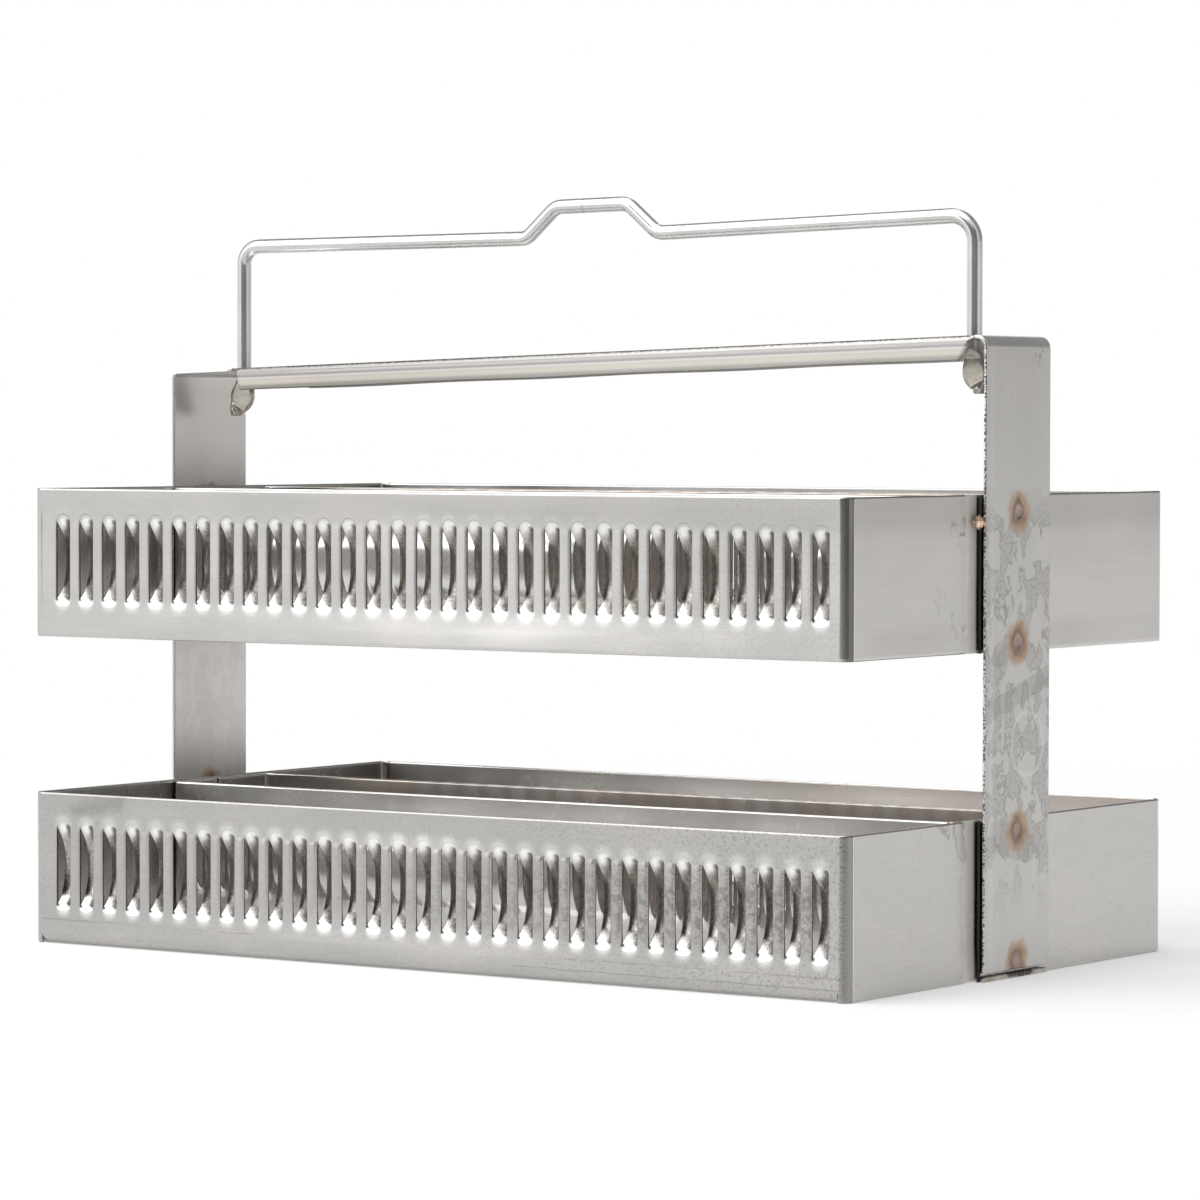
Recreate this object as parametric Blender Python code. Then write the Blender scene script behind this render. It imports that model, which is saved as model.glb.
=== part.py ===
"""Two-tier stainless steel rack for microscope slides, carried by a bent strap and a wire bail.

Each tier is a rectangular ring of thin sheet with a narrower ring inside it. The long walls are
lanced: between two shears a narrow strip is drawn out of the wall, so the slides stand on edge
between neighbouring strips. Units are millimetres here and metres in the scene, +Z is up, +X runs
along the rack, and the origin is on the surface that the rack stands on, under its centre.
"""
import math

import bmesh
import bpy
import numpy as np
from mathutils import Matrix, Vector

MM = 0.001

# Sheet
SHEET = 0.45             # thickness of every sheet
LAYER_GAP = 0.25         # clearance between sheets that lie on one another
CORNER_R = 1.2           # outer radius of the outer rings' upright corners
INNER_CORNER_R = 1.0     # outer radius of the inner rings' upright corners
RELIEF = 0.25            # notch where a fold stops at a corner

# Tiers
LENGTH = 125.0           # over the outer rings' end walls
WIDTH = 75.0             # over the outer rings' long walls
MIDDLE_WIDTH = 20.2      # over the inner rings' long walls
LOWER_HEIGHT = 19.6
UPPER_HEIGHT = 19.2
TIER_GAP = 20.15         # from the lower tier's top to the upper tier's foot
INNER_DROP = 0.2         # the inner rings' tops lie this far below the outer ones
LEDGE = 4.0              # width of the folded ledges that carry the slides
LEDGE_R = 1.2            # outer radius of the ledges' folds
INNER_SEAM = 0.3         # butt seam where an inner ring closes

# Lanced strips
STRIP_PITCH = 3.85
STRIP_END = 4.7          # at least this far from an end wall to the first strip's middle
STRIP_SHIFT = 0.2        # of the row's centre from the rack's centre
STRIP_WIDTH = 2.15
STRIP_DEPTH = 1.85       # drawn out of the wall
SHEAR_GAP = 0.1          # each side of a drawn strip
STRIP_FOOT = 4.5         # from the wall's foot to the strip's lower end
STRIP_HEAD = 3.6         # from the strip's upper end to the wall's top
STRIP_LOWER_RAMP = 3.3
STRIP_UPPER_RAMP = 2.6

# Strap
STRAP_WIDTH = 15.5
STRAP_Y = -0.7           # its middle
STRAP_FOOT = 1.0         # height of the cut ends of its legs
STRAP_BEND_R_RIGHT = 1.5  # outer radius where the right leg and the bar meet
STRAP_BEND_R_LEFT = 1.0
BAR_RISE_RIGHT = 19.25   # the bar's top over the upper tier at the right leg
BAR_RISE_LEFT = 15.4     # and at the left leg
LIP_DEPTH = 3.0          # of the bar's folded lips, over the bar's top
LIP_R = 1.0              # outer radius of the lips' folds
LIP_INSET_RIGHT = 1.9    # from the right leg's outer face to the lips
LIP_INSET_LEFT = 10.4    # from the left leg's outer face to the lips
LIP_CUT_RIGHT = 1.9      # the lips' right ends slope back by this much
LIP_CUT_LEFT = 1.2
TAB_OVERLAP = 1.0        # the outer ring's inner end reaches this far past the strap
LAP_OVERLAP = 0.3        # and its outer end this far past the strap's other edge
SPOT_D = 1.7             # spot-weld dimples on the legs
SPOT_DEPTH = 0.12
SPOT_FEET = (2.1, 1.15)  # from the foot of the lower and the upper tier to its lower dimple
SPOT_HEADS = (1.7, 2.25)  # and from its upper dimple to its top

# Bail
WIRE_D = 1.9
BAIL_SPAN = 113.8        # between the centres of its two legs
HOLE_CLEARANCE = 0.3     # around the wire in the bar
BAIL_RISE_RIGHT = 14.95  # the bail's top centre line over the bar at the right hole
BAIL_RISE_LEFT = 16.5
BAIL_SAG = 0.55          # the hand-bent top dips towards the hump
BAIL_BEND_R_RIGHT = 3.3  # to the centre line
BAIL_BEND_R_LEFT = 2.5
HUMP_RISE = 3.9          # of the finger hump over the bail's top
HUMP_TOP = 11.2          # length of the hump's crest between its sharp corners
HUMP_FOOT = 20.4         # length between the hump's feet
HUMP_R = 2.6
EAR_WIDTH = 3.45         # wire pinched flat under the bar
EAR_THICKNESS = 0.9
EAR_LENGTH = 4.5
EAR_DROP_RIGHT = 1.15    # from the bar's underside to the ear's shoulder
EAR_DROP_LEFT = 0.45
EAR_TURN_LEFT = 8.0      # degrees that the left ear is turned about its leg
STUB_D = 1.7
STUB_LENGTH = 0.8
STUB_LEAN_RIGHT = 0.8    # the stub ends beside the wire's line
STUB_LEAN_LEFT = -1.3

# Values that follow from the sizes above
STRIP_COUNT = int((LENGTH - 2 * STRIP_END) / STRIP_PITCH) + 1
UPPER_BASE = LOWER_HEIGHT + TIER_GAP
UPPER_TOP = UPPER_BASE + UPPER_HEIGHT
STRAP_X = LENGTH / 2 + LAYER_GAP + SHEET        # the legs' outer faces
BAR_RIGHT = UPPER_TOP + BAR_RISE_RIGHT
BAR_LEFT = UPPER_TOP + BAR_RISE_LEFT
BAR_SLOPE = (BAR_RIGHT - BAR_LEFT) / (2 * STRAP_X)
BAIL_X = BAIL_SPAN / 2


def bar_top(x):
    """Height of the bar's upper face, which climbs from the left leg to the right one."""
    return BAR_LEFT + BAR_SLOPE * (x + STRAP_X)


def remove_everything():
    for obj in list(bpy.data.objects):
        bpy.data.objects.remove(obj, do_unlink=True)


def steel(name, shade, roughness):
    """Stainless steel with the given brightness and polish."""
    material = bpy.data.materials.new(name)
    material.use_nodes = True
    shader = material.node_tree.nodes["Principled BSDF"]
    shader.inputs["Base Color"].default_value = (shade, shade, shade * 0.985, 1.0)
    shader.inputs["Metallic"].default_value = 1.0
    shader.inputs["Roughness"].default_value = roughness
    return material


def to_object(bm, name, material, origin=(0.0, 0.0, 0.0), smooth=None):
    """Turns a bmesh in millimetres into a named object in metres whose origin is given in mm."""
    bmesh.ops.translate(bm, verts=bm.verts, vec=-Vector(origin))
    bmesh.ops.scale(bm, verts=bm.verts, vec=(MM, MM, MM))
    mesh = bpy.data.meshes.new(name)
    bm.to_mesh(mesh)
    bm.free()
    if smooth is not None:
        mesh.shade_smooth()
        mesh.set_sharp_from_angle(angle=math.radians(smooth))
    obj = bpy.data.objects.new(name, mesh)
    obj.location = Vector(origin) * MM
    mesh.materials.append(material)
    bpy.context.scene.collection.objects.link(obj)
    return obj


def thicken(bm, thickness):
    """Gives a sheet its thickness behind the face that was drawn, mitred at every fold."""
    bm.normal_update()
    drawn = list(bm.faces)
    rims = [(loop.vert, loop.link_loop_next.vert)
            for face in drawn for loop in face.loops if loop.edge.is_boundary]
    back = {}
    for vert in list(bm.verts):
        normals = []
        for face in vert.link_faces:
            if all(face.normal.dot(other) < 0.99999 for other in normals):
                normals.append(face.normal.copy())
        ones = np.ones(len(normals))
        shift = np.linalg.lstsq(np.array(normals), ones, rcond=None)[0]
        back[vert] = bm.verts.new(vert.co - Vector(shift) * thickness)
    for face in drawn:
        bm.faces.new([back[vert] for vert in reversed(face.verts)])
    for first, second in rims:
        bm.faces.new([second, first, back[first], back[second]])
    bm.normal_update()


class Wall:
    """One straight run of a bent strip: points are given by run, depth out of it and height."""

    def __init__(self, start, end):
        self.start = start
        self.length = (end - start).length
        self.along = (end - start).normalized()
        self.out = Vector((-self.along.y, self.along.x))

    def at(self, run, out, z):
        point = self.start + self.along * run + self.out * out
        return (point.x, point.y, z)


def column(bm, wall, run, heights):
    """Vertices of the strip one above another, lowest first."""
    return {z: bm.verts.new(wall.at(run, 0.0, z)) for z in sorted(heights)}


def plain_face(bm, first, second):
    """Joins two neighbouring columns with one face."""
    up = [first[z] for z in sorted(first)]
    down = [second[z] for z in sorted(second, reverse=True)]
    bm.faces.new(up + down)


def fold_ledge(bm, wall, base, radius, side, edge):
    """Folds the wall's foot to a level ledge: side -1 folds behind the face, +1 in front of it."""
    bend = radius if side < 0 else radius - SHEET
    rows = [edge]
    for k in range(1, 4):
        turn = math.radians(30.0 * k)
        out = side * bend * (1.0 - math.cos(turn))
        z = base + radius - bend * math.sin(turn)
        rows.append([bm.verts.new(wall.at(RELIEF, out, z)),
                     bm.verts.new(wall.at(wall.length - RELIEF, out, z))])
    level = base if side < 0 else base + SHEET
    rows.append([bm.verts.new(wall.at(RELIEF, side * LEDGE, level)),
                 bm.verts.new(wall.at(wall.length - RELIEF, side * LEDGE, level))])
    for upper, lower in zip(rows, rows[1:]):
        bm.faces.new([lower[0], upper[0], upper[1], lower[1]])


def lanced_wall(bm, wall, first, last, foot, low, high, top, side, ledge):
    """A long wall with its row of drawn strips between the columns first and last."""
    centres = [STRIP_SHIFT + STRIP_PITCH * (i - (STRIP_COUNT - 1) / 2) for i in range(STRIP_COUNT)]
    runs = sorted((x - wall.start.x) * wall.along.x for x in centres)
    half = STRIP_WIDTH / 2
    stations = [(low, 0.0, half),
                (low + STRIP_LOWER_RAMP, side * STRIP_DEPTH, half - SHEAR_GAP),
                (high - STRIP_UPPER_RAMP, side * STRIP_DEPTH, half - SHEAR_GAP),
                (high, 0.0, half)]
    lower_edge = []
    upper_edge = []
    left_low = first[low]
    left_high = first[high]
    for run in runs:
        strip = [(bm.verts.new(wall.at(run - reach, out, z)), bm.verts.new(wall.at(run + reach, out, z)))
                 for z, out, reach in stations]
        for below, above in zip(strip, strip[1:]):
            bm.faces.new([below[0], above[0], above[1], below[1]])
        bm.faces.new([left_low, left_high, strip[-1][0], strip[0][0]])
        left_low = strip[0][1]
        left_high = strip[-1][1]
        lower_edge += strip[0]
        upper_edge += strip[-1]
    bm.faces.new([left_low, left_high, last[high], last[low]])
    bm.faces.new([first[high], first[top], last[top], last[high]] + upper_edge[::-1])
    foot_edge = []
    if ledge:
        foot_edge = [bm.verts.new(wall.at(run, 0.0, foot)) for run in (RELIEF, wall.length - RELIEF)]
    bm.faces.new([first[foot], first[low]] + lower_edge + [last[low], last[foot]] + foot_edge[::-1])
    return foot_edge


def ring(bm, corners, radius, base, top, side, ledge):
    """One strip of sheet bent round a rectangle, its long walls lanced, drawn by its outer face.

    corners are plan points, ends included, with the outside on the left of the way round.
    """
    low = base + STRIP_FOOT
    high = top - STRIP_HEAD
    foot = base + LEDGE_R if ledge else base
    previous = None
    for i in range(len(corners) - 1):
        start = corners[i].copy()
        end = corners[i + 1].copy()
        way = (end - start).normalized()
        if i > 0:
            start += way * radius
        if i < len(corners) - 2:
            end -= way * radius
        wall = Wall(start, end)
        lanced = abs(way.x) > 0.5
        heights = {base, top, foot, low, high} if lanced else {base, top}
        first = column(bm, wall, 0.0, heights)
        if previous is not None:
            # the upright corner between the last wall and this one
            centre = start - wall.out * radius
            for k in (1, 2):
                turn = math.radians(30.0 * k)
                spot = centre + radius * (math.cos(turn) * before.out + math.sin(turn) * before.along)
                step = {z: bm.verts.new((spot.x, spot.y, z)) for z in (base, top)}
                plain_face(bm, previous, step)
                previous = step
            plain_face(bm, previous, first)
        last = column(bm, wall, wall.length, heights)
        if lanced:
            edge = lanced_wall(bm, wall, first, last, foot, low, high, top, side, ledge)
            if ledge:
                fold_ledge(bm, wall, base, LEDGE_R, side, edge)
        else:
            plain_face(bm, first, last)
        previous = last
        before = wall


def outer_frame(name, base, height, ledge, material):
    """The outer ring: one end wall is lapped, its inner end under its outer end and the strap."""
    x = LENGTH / 2
    y = WIDTH / 2
    tucked = x - SHEET - LAYER_GAP
    corners = [Vector((tucked, STRAP_Y + STRAP_WIDTH / 2 + TAB_OVERLAP)),
               Vector((tucked, -y)), Vector((-x, -y)), Vector((-x, y)), Vector((x, y)),
               Vector((x, STRAP_Y - STRAP_WIDTH / 2 - LAP_OVERLAP))]
    bm = bmesh.new()
    ring(bm, corners, CORNER_R, base, base + height, -1, ledge)
    thicken(bm, SHEET)
    return to_object(bm, name, material)


def inner_frame(name, base, height, ledge, material):
    """The inner ring: two dividers and the end pieces that lie inside the outer ring's end walls."""
    left = -LENGTH / 2 + SHEET + LAYER_GAP
    right = LENGTH / 2 - 2 * (SHEET + LAYER_GAP)
    y = MIDDLE_WIDTH / 2
    corners = [Vector((left, STRAP_Y + INNER_SEAM / 2)), Vector((left, y)), Vector((right, y)),
               Vector((right, -y)), Vector((left, -y)), Vector((left, STRAP_Y - INNER_SEAM / 2))]
    bm = bmesh.new()
    ring(bm, corners, INNER_CORNER_R, base, base + height - INNER_DROP, 1, ledge)
    thicken(bm, SHEET)
    return to_object(bm, name, material)


def cutter(bm, name):
    """A hidden solid that is cut out of its neighbour."""
    bmesh.ops.recalc_face_normals(bm, faces=bm.faces)
    obj = to_object(bm, name, bpy.data.materials.new(name))
    obj.hide_render = True
    obj.display_type = "WIRE"
    return obj


def cut(obj, tool):
    """Cuts the tool out of the object with a live Boolean modifier."""
    modifier = obj.modifiers.new(tool.name, "BOOLEAN")
    modifier.operation = "DIFFERENCE"
    modifier.solver = "EXACT"
    modifier.object = tool


def strap_path():
    """The strap's outer face seen from the front: right leg, bend, bar, bend, left leg."""
    tilt = math.atan(BAR_SLOPE)
    points = [(STRAP_X, STRAP_FOOT)]
    for side, radius in ((1, STRAP_BEND_R_RIGHT), (-1, STRAP_BEND_R_LEFT)):
        arc = []
        # the bend's centre lies one radius inside the leg and one radius under the sloping bar
        x = side * (STRAP_X - radius)
        z = bar_top(x) - radius / math.cos(tilt)
        first = 0.0
        last = math.pi / 2 + tilt if side > 0 else math.pi / 2 - tilt
        for k in range(5):
            turn = first + (last - first) * k / 4
            arc.append((x + side * radius * math.cos(turn), z + radius * math.sin(turn)))
        points += arc if side > 0 else arc[::-1]
    points.append((-STRAP_X, STRAP_FOOT))
    return points


def yoke_strap(material):
    """Legs and bar folded from one sheet; the bar is a shallow channel with lips front and back."""
    bm = bmesh.new()
    half = STRAP_WIDTH / 2
    flat = half - LIP_R

    def cross(x, z, reaches):
        return [bm.verts.new((x, STRAP_Y + reach, z)) for reach in reaches]

    def join(first, second):
        bm.faces.new(first + second[::-1])

    path = strap_path()
    rows = [cross(x, z, (-half, half)) for x, z in path]
    bar = 6   # the bar runs from row 5 to row 6
    for k in list(range(bar - 1)) + list(range(bar, len(rows) - 1)):
        join(rows[k], rows[k + 1])
    lip_right = STRAP_X - LIP_INSET_RIGHT
    lip_left = -STRAP_X + LIP_INSET_LEFT
    right = cross(lip_right + RELIEF, bar_top(lip_right + RELIEF), (-half, -flat, flat, half))
    left = cross(lip_left - RELIEF, bar_top(lip_left - RELIEF), (-half, -flat, flat, half))
    join(rows[bar - 1], right)
    join(left, rows[bar])
    lips = [cross(x, bar_top(x), (-flat, flat)) for x in (lip_right, lip_left)]
    bm.faces.new([right[1], right[2], lips[0][1], lips[1][1], left[2], left[1], lips[1][0], lips[0][0]])
    # lips, drawn down from the bar's edges; their ends slope back
    bend = LIP_R
    developed = math.pi / 2 * bend + LIP_DEPTH - LIP_R
    for side, edge in ((-1, 0), (1, 1)):
        previous = [lips[0][edge], lips[1][edge]]
        profile = [(bend * math.sin(t), bend * (1 - math.cos(t)), bend * t)
                   for t in (math.radians(30), math.radians(60), math.radians(90))]
        profile.append((bend, LIP_DEPTH, developed))
        for out, drop, length in profile:
            share = length / developed
            row = []
            for x in (lip_right - LIP_CUT_RIGHT * share, lip_left + LIP_CUT_LEFT * share):
                row.append(bm.verts.new((x, STRAP_Y + side * (flat + out), bar_top(x) - drop)))
            quad = [previous[0], previous[1], row[1], row[0]]
            bm.faces.new(quad if side < 0 else quad[::-1])
            previous = row
    bmesh.ops.recalc_face_normals(bm, faces=bm.faces)
    face = max(bm.faces, key=lambda f: f.calc_area())
    bm.normal_update()
    if face.calc_center_median().z * face.normal.z < 0:
        bmesh.ops.reverse_faces(bm, faces=bm.faces)
    thicken(bm, SHEET)
    strap = to_object(bm, "yoke_strap", material)

    holes = bmesh.new()
    for side in (-1, 1):
        middle = bar_top(side * BAIL_X)
        bmesh.ops.create_cone(holes, cap_ends=True, segments=16, depth=4 * SHEET + 2.0,
                              radius1=WIRE_D / 2 + HOLE_CLEARANCE, radius2=WIRE_D / 2 + HOLE_CLEARANCE,
                              matrix=Matrix.Translation((side * BAIL_X, STRAP_Y, middle)))
    cut(strap, cutter(holes, "cut_bail_holes"))

    dimples = bmesh.new()
    heights = [SPOT_FEET[0], LOWER_HEIGHT - SPOT_HEADS[0],
               UPPER_BASE + SPOT_FEET[1], UPPER_TOP - SPOT_HEADS[1]]
    for side in (-1, 1):
        for z in heights:
            turn = Matrix.Rotation(math.pi / 2, 4, "Y")
            place = Matrix.Translation((side * (STRAP_X + SPOT_DEPTH * 0.5), STRAP_Y, z)) @ turn
            narrow = SPOT_D * 0.3
            wide = SPOT_D * 0.7
            bmesh.ops.create_cone(dimples, cap_ends=True, segments=6, depth=3 * SPOT_DEPTH,
                                  radius1=narrow if side > 0 else wide,
                                  radius2=wide if side > 0 else narrow, matrix=place)
    cut(strap, cutter(dimples, "cut_spot_welds"))
    return strap


def rounded(points, radii, steps):
    """A chain of straight runs with every inner corner rounded to its radius."""
    result = [points[0]]
    for i in range(1, len(points) - 1):
        corner = points[i]
        back = (points[i - 1] - corner).normalized()
        forth = (points[i + 1] - corner).normalized()
        angle = back.angle(forth)
        reach = radii[i - 1] / math.tan(angle / 2)
        centre = corner + (back + forth).normalized() * (radii[i - 1] / math.sin(angle / 2))
        first = corner + back * reach - centre
        last = corner + forth * reach - centre
        sweep = first.angle(last)
        for k in range(steps + 1):
            share = k / steps
            blend = (first * math.sin(sweep * (1 - share)) + last * math.sin(sweep * share)) / math.sin(sweep)
            result.append(centre + blend)
    result.append(points[-1])
    return result


def bail(material):
    """The carrying wire: two legs through the bar, a long top with a finger hump, pinched feet."""
    sides = 8
    bm = bmesh.new()
    top_left = bar_top(-BAIL_X) + BAIL_RISE_LEFT
    top_right = bar_top(BAIL_X) + BAIL_RISE_RIGHT
    slope = (top_right - top_left) / BAIL_SPAN

    def run_height(x):
        dip = min(1.0, (BAIL_X - abs(x)) / (BAIL_X - HUMP_FOOT / 2))
        return top_left + slope * (x + BAIL_X) - BAIL_SAG * dip

    def foot(side, drop, turn, lean):
        """Stations of one foot from the leg down: point, half width, half thickness, turn."""
        shoulder = bar_top(side * BAIL_X) - SHEET - drop
        stations = []
        for k in range(6):
            share = k / 5
            swell = math.sin(math.pi * share ** 1.35)
            wide = WIRE_D / 2 + (EAR_WIDTH - WIRE_D) / 2 * swell
            thin = WIRE_D / 2 + (EAR_THICKNESS - WIRE_D) / 2 * min(1.0, 1.6 * swell)
            bow = lean * share ** 3
            stations.append((Vector((side * BAIL_X + bow, 0, shoulder - EAR_LENGTH * share)), wide, thin, turn))
        end = shoulder - EAR_LENGTH - STUB_LENGTH
        stations.append((Vector((side * BAIL_X + lean, 0, end + STUB_LENGTH * 0.8)), STUB_D / 2, STUB_D / 2, turn))
        stations.append((Vector((side * BAIL_X + lean, 0, end)), STUB_D / 2, STUB_D / 2, turn))
        return stations

    left_foot = foot(-1, EAR_DROP_LEFT, math.radians(EAR_TURN_LEFT), STUB_LEAN_LEFT)
    right_foot = foot(1, EAR_DROP_RIGHT, 0.0, STUB_LEAN_RIGHT)
    chain = [Vector((-BAIL_X, 0, left_foot[0][0].z + 0.6)), Vector((-BAIL_X, 0, top_left)),
             Vector((-HUMP_FOOT / 2, 0, run_height(-HUMP_FOOT / 2))),
             Vector((-HUMP_TOP / 2, 0, run_height(-HUMP_TOP / 2) + HUMP_RISE)),
             Vector((HUMP_TOP / 2, 0, run_height(HUMP_TOP / 2) + HUMP_RISE)),
             Vector((HUMP_FOOT / 2, 0, run_height(HUMP_FOOT / 2))),
             Vector((BAIL_X, 0, top_right)), Vector((BAIL_X, 0, right_foot[0][0].z + 0.6))]
    radii = [BAIL_BEND_R_LEFT, HUMP_R, HUMP_R, HUMP_R, HUMP_R, BAIL_BEND_R_RIGHT]
    middle = [(point, WIRE_D / 2, WIRE_D / 2, 0.0) for point in rounded(chain, radii, 3)]
    stations = left_foot[::-1] + middle + right_foot

    rings = []
    for i, (point, wide, thin, turn) in enumerate(stations):
        before = stations[max(i - 1, 0)][0]
        after = stations[min(i + 1, len(stations) - 1)][0]
        way = (after - before).normalized()
        across = Vector((0, 1, 0)).cross(way)
        depth = Vector((0, 1, 0))
        # a pinched section may be turned about the wire
        flat = math.cos(turn) * across + math.sin(turn) * depth
        edge = -math.sin(turn) * across + math.cos(turn) * depth
        loop = []
        for k in range(sides):
            angle = 2 * math.pi * k / sides
            loop.append(bm.verts.new(point + wide * math.cos(angle) * flat + thin * math.sin(angle) * edge))
        rings.append(loop)
    for first, second in zip(rings, rings[1:]):
        for k in range(sides):
            bm.faces.new([first[k], first[(k + 1) % sides], second[(k + 1) % sides], second[k]])
    bm.faces.new(rings[0])
    bm.faces.new(rings[-1])
    bmesh.ops.recalc_face_normals(bm, faces=bm.faces)
    bmesh.ops.translate(bm, verts=bm.verts, vec=(0, STRAP_Y, 0))
    return to_object(bm, "handle", material, origin=(0.0, STRAP_Y, bar_top(0.0)), smooth=40)


def edge_weld(name, side, material):
    """The bead that closes the foot of a leg against the end wall: a low rounded bar."""
    bm = bmesh.new()
    inner = LENGTH / 2 + LAYER_GAP
    top = STRAP_FOOT - LAYER_GAP
    section = [(0.0, 0.0), (0.62, 0.0), (0.9, 0.22), (1.0, 0.55), (0.92, 0.88), (0.7, 1.0), (0.0, 1.0)]
    reach = STRAP_WIDTH / 2
    rows = []
    for y, share in ((-reach, 0.62), (-reach + 0.5, 1.0), (reach - 0.5, 1.0), (reach, 0.62)):
        rows.append([bm.verts.new((side * (inner + SHEET * u * (share if u > 0 else 1.0)), STRAP_Y + y,
                                   top * v * (share if v > 0 else 1.0))) for u, v in section])
    for first, second in zip(rows, rows[1:]):
        for k in range(len(section)):
            after = (k + 1) % len(section)
            bm.faces.new([first[k], first[after], second[after], second[k]])
    bm.faces.new(rows[0])
    bm.faces.new(rows[-1])
    bmesh.ops.recalc_face_normals(bm, faces=bm.faces)
    return to_object(bm, name, material)


def build():
    remove_everything()
    upper = steel("upper_sheet", 0.60, 0.30)
    lower = steel("lower_sheet", 0.60, 0.32)
    inner = steel("inner_sheet", 0.58, 0.34)
    yoke = steel("strap_sheet", 0.60, 0.34)
    wire = steel("drawn_wire", 0.66, 0.22)
    bead = steel("weld_bead", 0.52, 0.42)
    outer_frame("lower_outer_frame", 0.0, LOWER_HEIGHT, True, lower)
    inner_frame("lower_inner_frame", 0.0, LOWER_HEIGHT, True, inner)
    outer_frame("upper_outer_frame", UPPER_BASE, UPPER_HEIGHT, False, upper)
    inner_frame("upper_inner_frame", UPPER_BASE, UPPER_HEIGHT, False, inner)
    yoke_strap(yoke)
    bail(wire)
    edge_weld("edge_weld_right", 1, bead)
    edge_weld("edge_weld_left", -1, bead)


build()
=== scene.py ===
"""Looks of the two-tier slide rack: lanced sheet metal, drawn wire, heat tints, studio light.

Lengths are millimetres until a mesh is made, +Z up, +X along the rack, as in the part's source.
"""
import functools
import math

import bmesh
import bpy
import numpy as np
from mathutils import Matrix, Vector


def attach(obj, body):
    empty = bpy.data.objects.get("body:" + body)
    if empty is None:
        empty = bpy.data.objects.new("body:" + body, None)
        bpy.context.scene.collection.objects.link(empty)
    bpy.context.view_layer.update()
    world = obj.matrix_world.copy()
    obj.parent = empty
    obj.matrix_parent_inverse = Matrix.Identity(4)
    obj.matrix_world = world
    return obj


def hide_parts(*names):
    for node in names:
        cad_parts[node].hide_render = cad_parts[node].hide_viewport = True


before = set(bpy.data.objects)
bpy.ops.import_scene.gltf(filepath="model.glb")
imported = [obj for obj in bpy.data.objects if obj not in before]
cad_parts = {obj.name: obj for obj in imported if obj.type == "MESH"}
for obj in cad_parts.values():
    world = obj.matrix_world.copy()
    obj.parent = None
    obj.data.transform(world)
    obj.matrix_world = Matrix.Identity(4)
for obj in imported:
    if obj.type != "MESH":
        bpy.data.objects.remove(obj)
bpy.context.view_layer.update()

MM = 0.001

# Sizes of the part's source, but for CORNER_R and RELIEF, which are as the photograph shows them
SHEET = 0.45
LAYER_GAP = 0.25
CORNER_R = 1.35
INNER_CORNER_R = 1.0
RELIEF = 0.06                       # closed up by the press, a hairline here
LENGTH = 125.0
WIDTH = 75.0
MIDDLE_WIDTH = 20.2
LOWER_HEIGHT = 19.6
UPPER_HEIGHT = 19.2
UPPER_BASE = 39.75
INNER_DROP = 0.2
LEDGE = 4.0
LEDGE_R = 1.2
INNER_SEAM = 0.3
STRIP_PITCH = 3.85
STRIP_SHIFT = 0.2
STRIP_COUNT = 31
STRIP_WIDTH = 2.15
STRIP_DEPTH = 1.85
STRAP_WIDTH = 15.5
STRAP_Y = -0.7
STRAP_FOOT = 1.0
STRAP_BEND_R_RIGHT = 1.5
STRAP_BEND_R_LEFT = 1.0
STRAP_X = LENGTH / 2 + LAYER_GAP + SHEET
BAR_RIGHT = 78.2
BAR_LEFT = 74.35
BAR_SLOPE = (BAR_RIGHT - BAR_LEFT) / (2 * STRAP_X)
LIP_DEPTH = 3.0
LIP_R = 1.0
LIP_INSET_RIGHT = 1.9
LIP_INSET_LEFT = 10.4
LIP_CUT_RIGHT = 1.9
LIP_CUT_LEFT = 1.2
SPOT_HEIGHTS = (2.1, 17.9, 40.9, 56.7)
WIRE_D = 1.9
BAIL_X = 56.9
HOLE_CLEARANCE = 0.3
BAIL_RISE_RIGHT = 14.95
BAIL_RISE_LEFT = 16.5
BAIL_SAG = 0.55
BAIL_BEND_R_RIGHT = 3.3
BAIL_BEND_R_LEFT = 2.5
HUMP_RISE = 3.9
HUMP_TOP = 11.2
HUMP_FOOT = 20.4
HUMP_R = 2.6
EAR_WIDTH = 3.45
EAR_THICKNESS = 0.9
EAR_LENGTH = 4.5
EAR_DROP_RIGHT = 1.15
EAR_DROP_LEFT = 0.45
EAR_TURN_LEFT = 8.0
STUB_D = 1.7
STUB_LENGTH = 0.8
STUB_LEAN_RIGHT = 0.8
STUB_LEAN_LEFT = -1.3

# Heights between which each ring's strips are drawn, and where their rows end along x
LOWER_ROW = (4.4, 16.1)
LOWER_INNER_ROW = (4.4, 16.0)
UPPER_ROW = (UPPER_BASE + 4.2, UPPER_BASE + 15.85)
UPPER_INNER_ROW = (UPPER_BASE + 4.2, UPPER_BASE + 15.6)
ROW_END = (59.3, 59.5)
TUCKED_X = LENGTH / 2 - SHEET - LAYER_GAP   # outer face of the end wall that goes under the lap
WALL_DISH = 0.15                            # by which drawing the strips has pulled a wall in
STRAP_RIM = 0.14                            # rounding of the strap's cut edges
FOCAL_PIXELS = 5160.0
PHOTO_PIXELS = 1200.0


def bar_top(x):
    return BAR_LEFT + BAR_SLOPE * (x + STRAP_X)


# ---------------------------------------------------------------- mesh helpers

def add_object(name, data):
    obj = bpy.data.objects.new(name, data)
    bpy.context.scene.collection.objects.link(obj)
    return obj


def make_object(name, points, faces, material):
    """A smooth mesh object in metres from points in millimetres and faces as index arrays."""
    mesh = bpy.data.meshes.new(name)
    mesh.from_pydata((np.asarray(points) * MM).tolist(), [], [list(face) for face in faces])
    mesh.update()
    mesh.shade_smooth()
    mesh.materials.append(material)
    return add_object(name, mesh)


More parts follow.
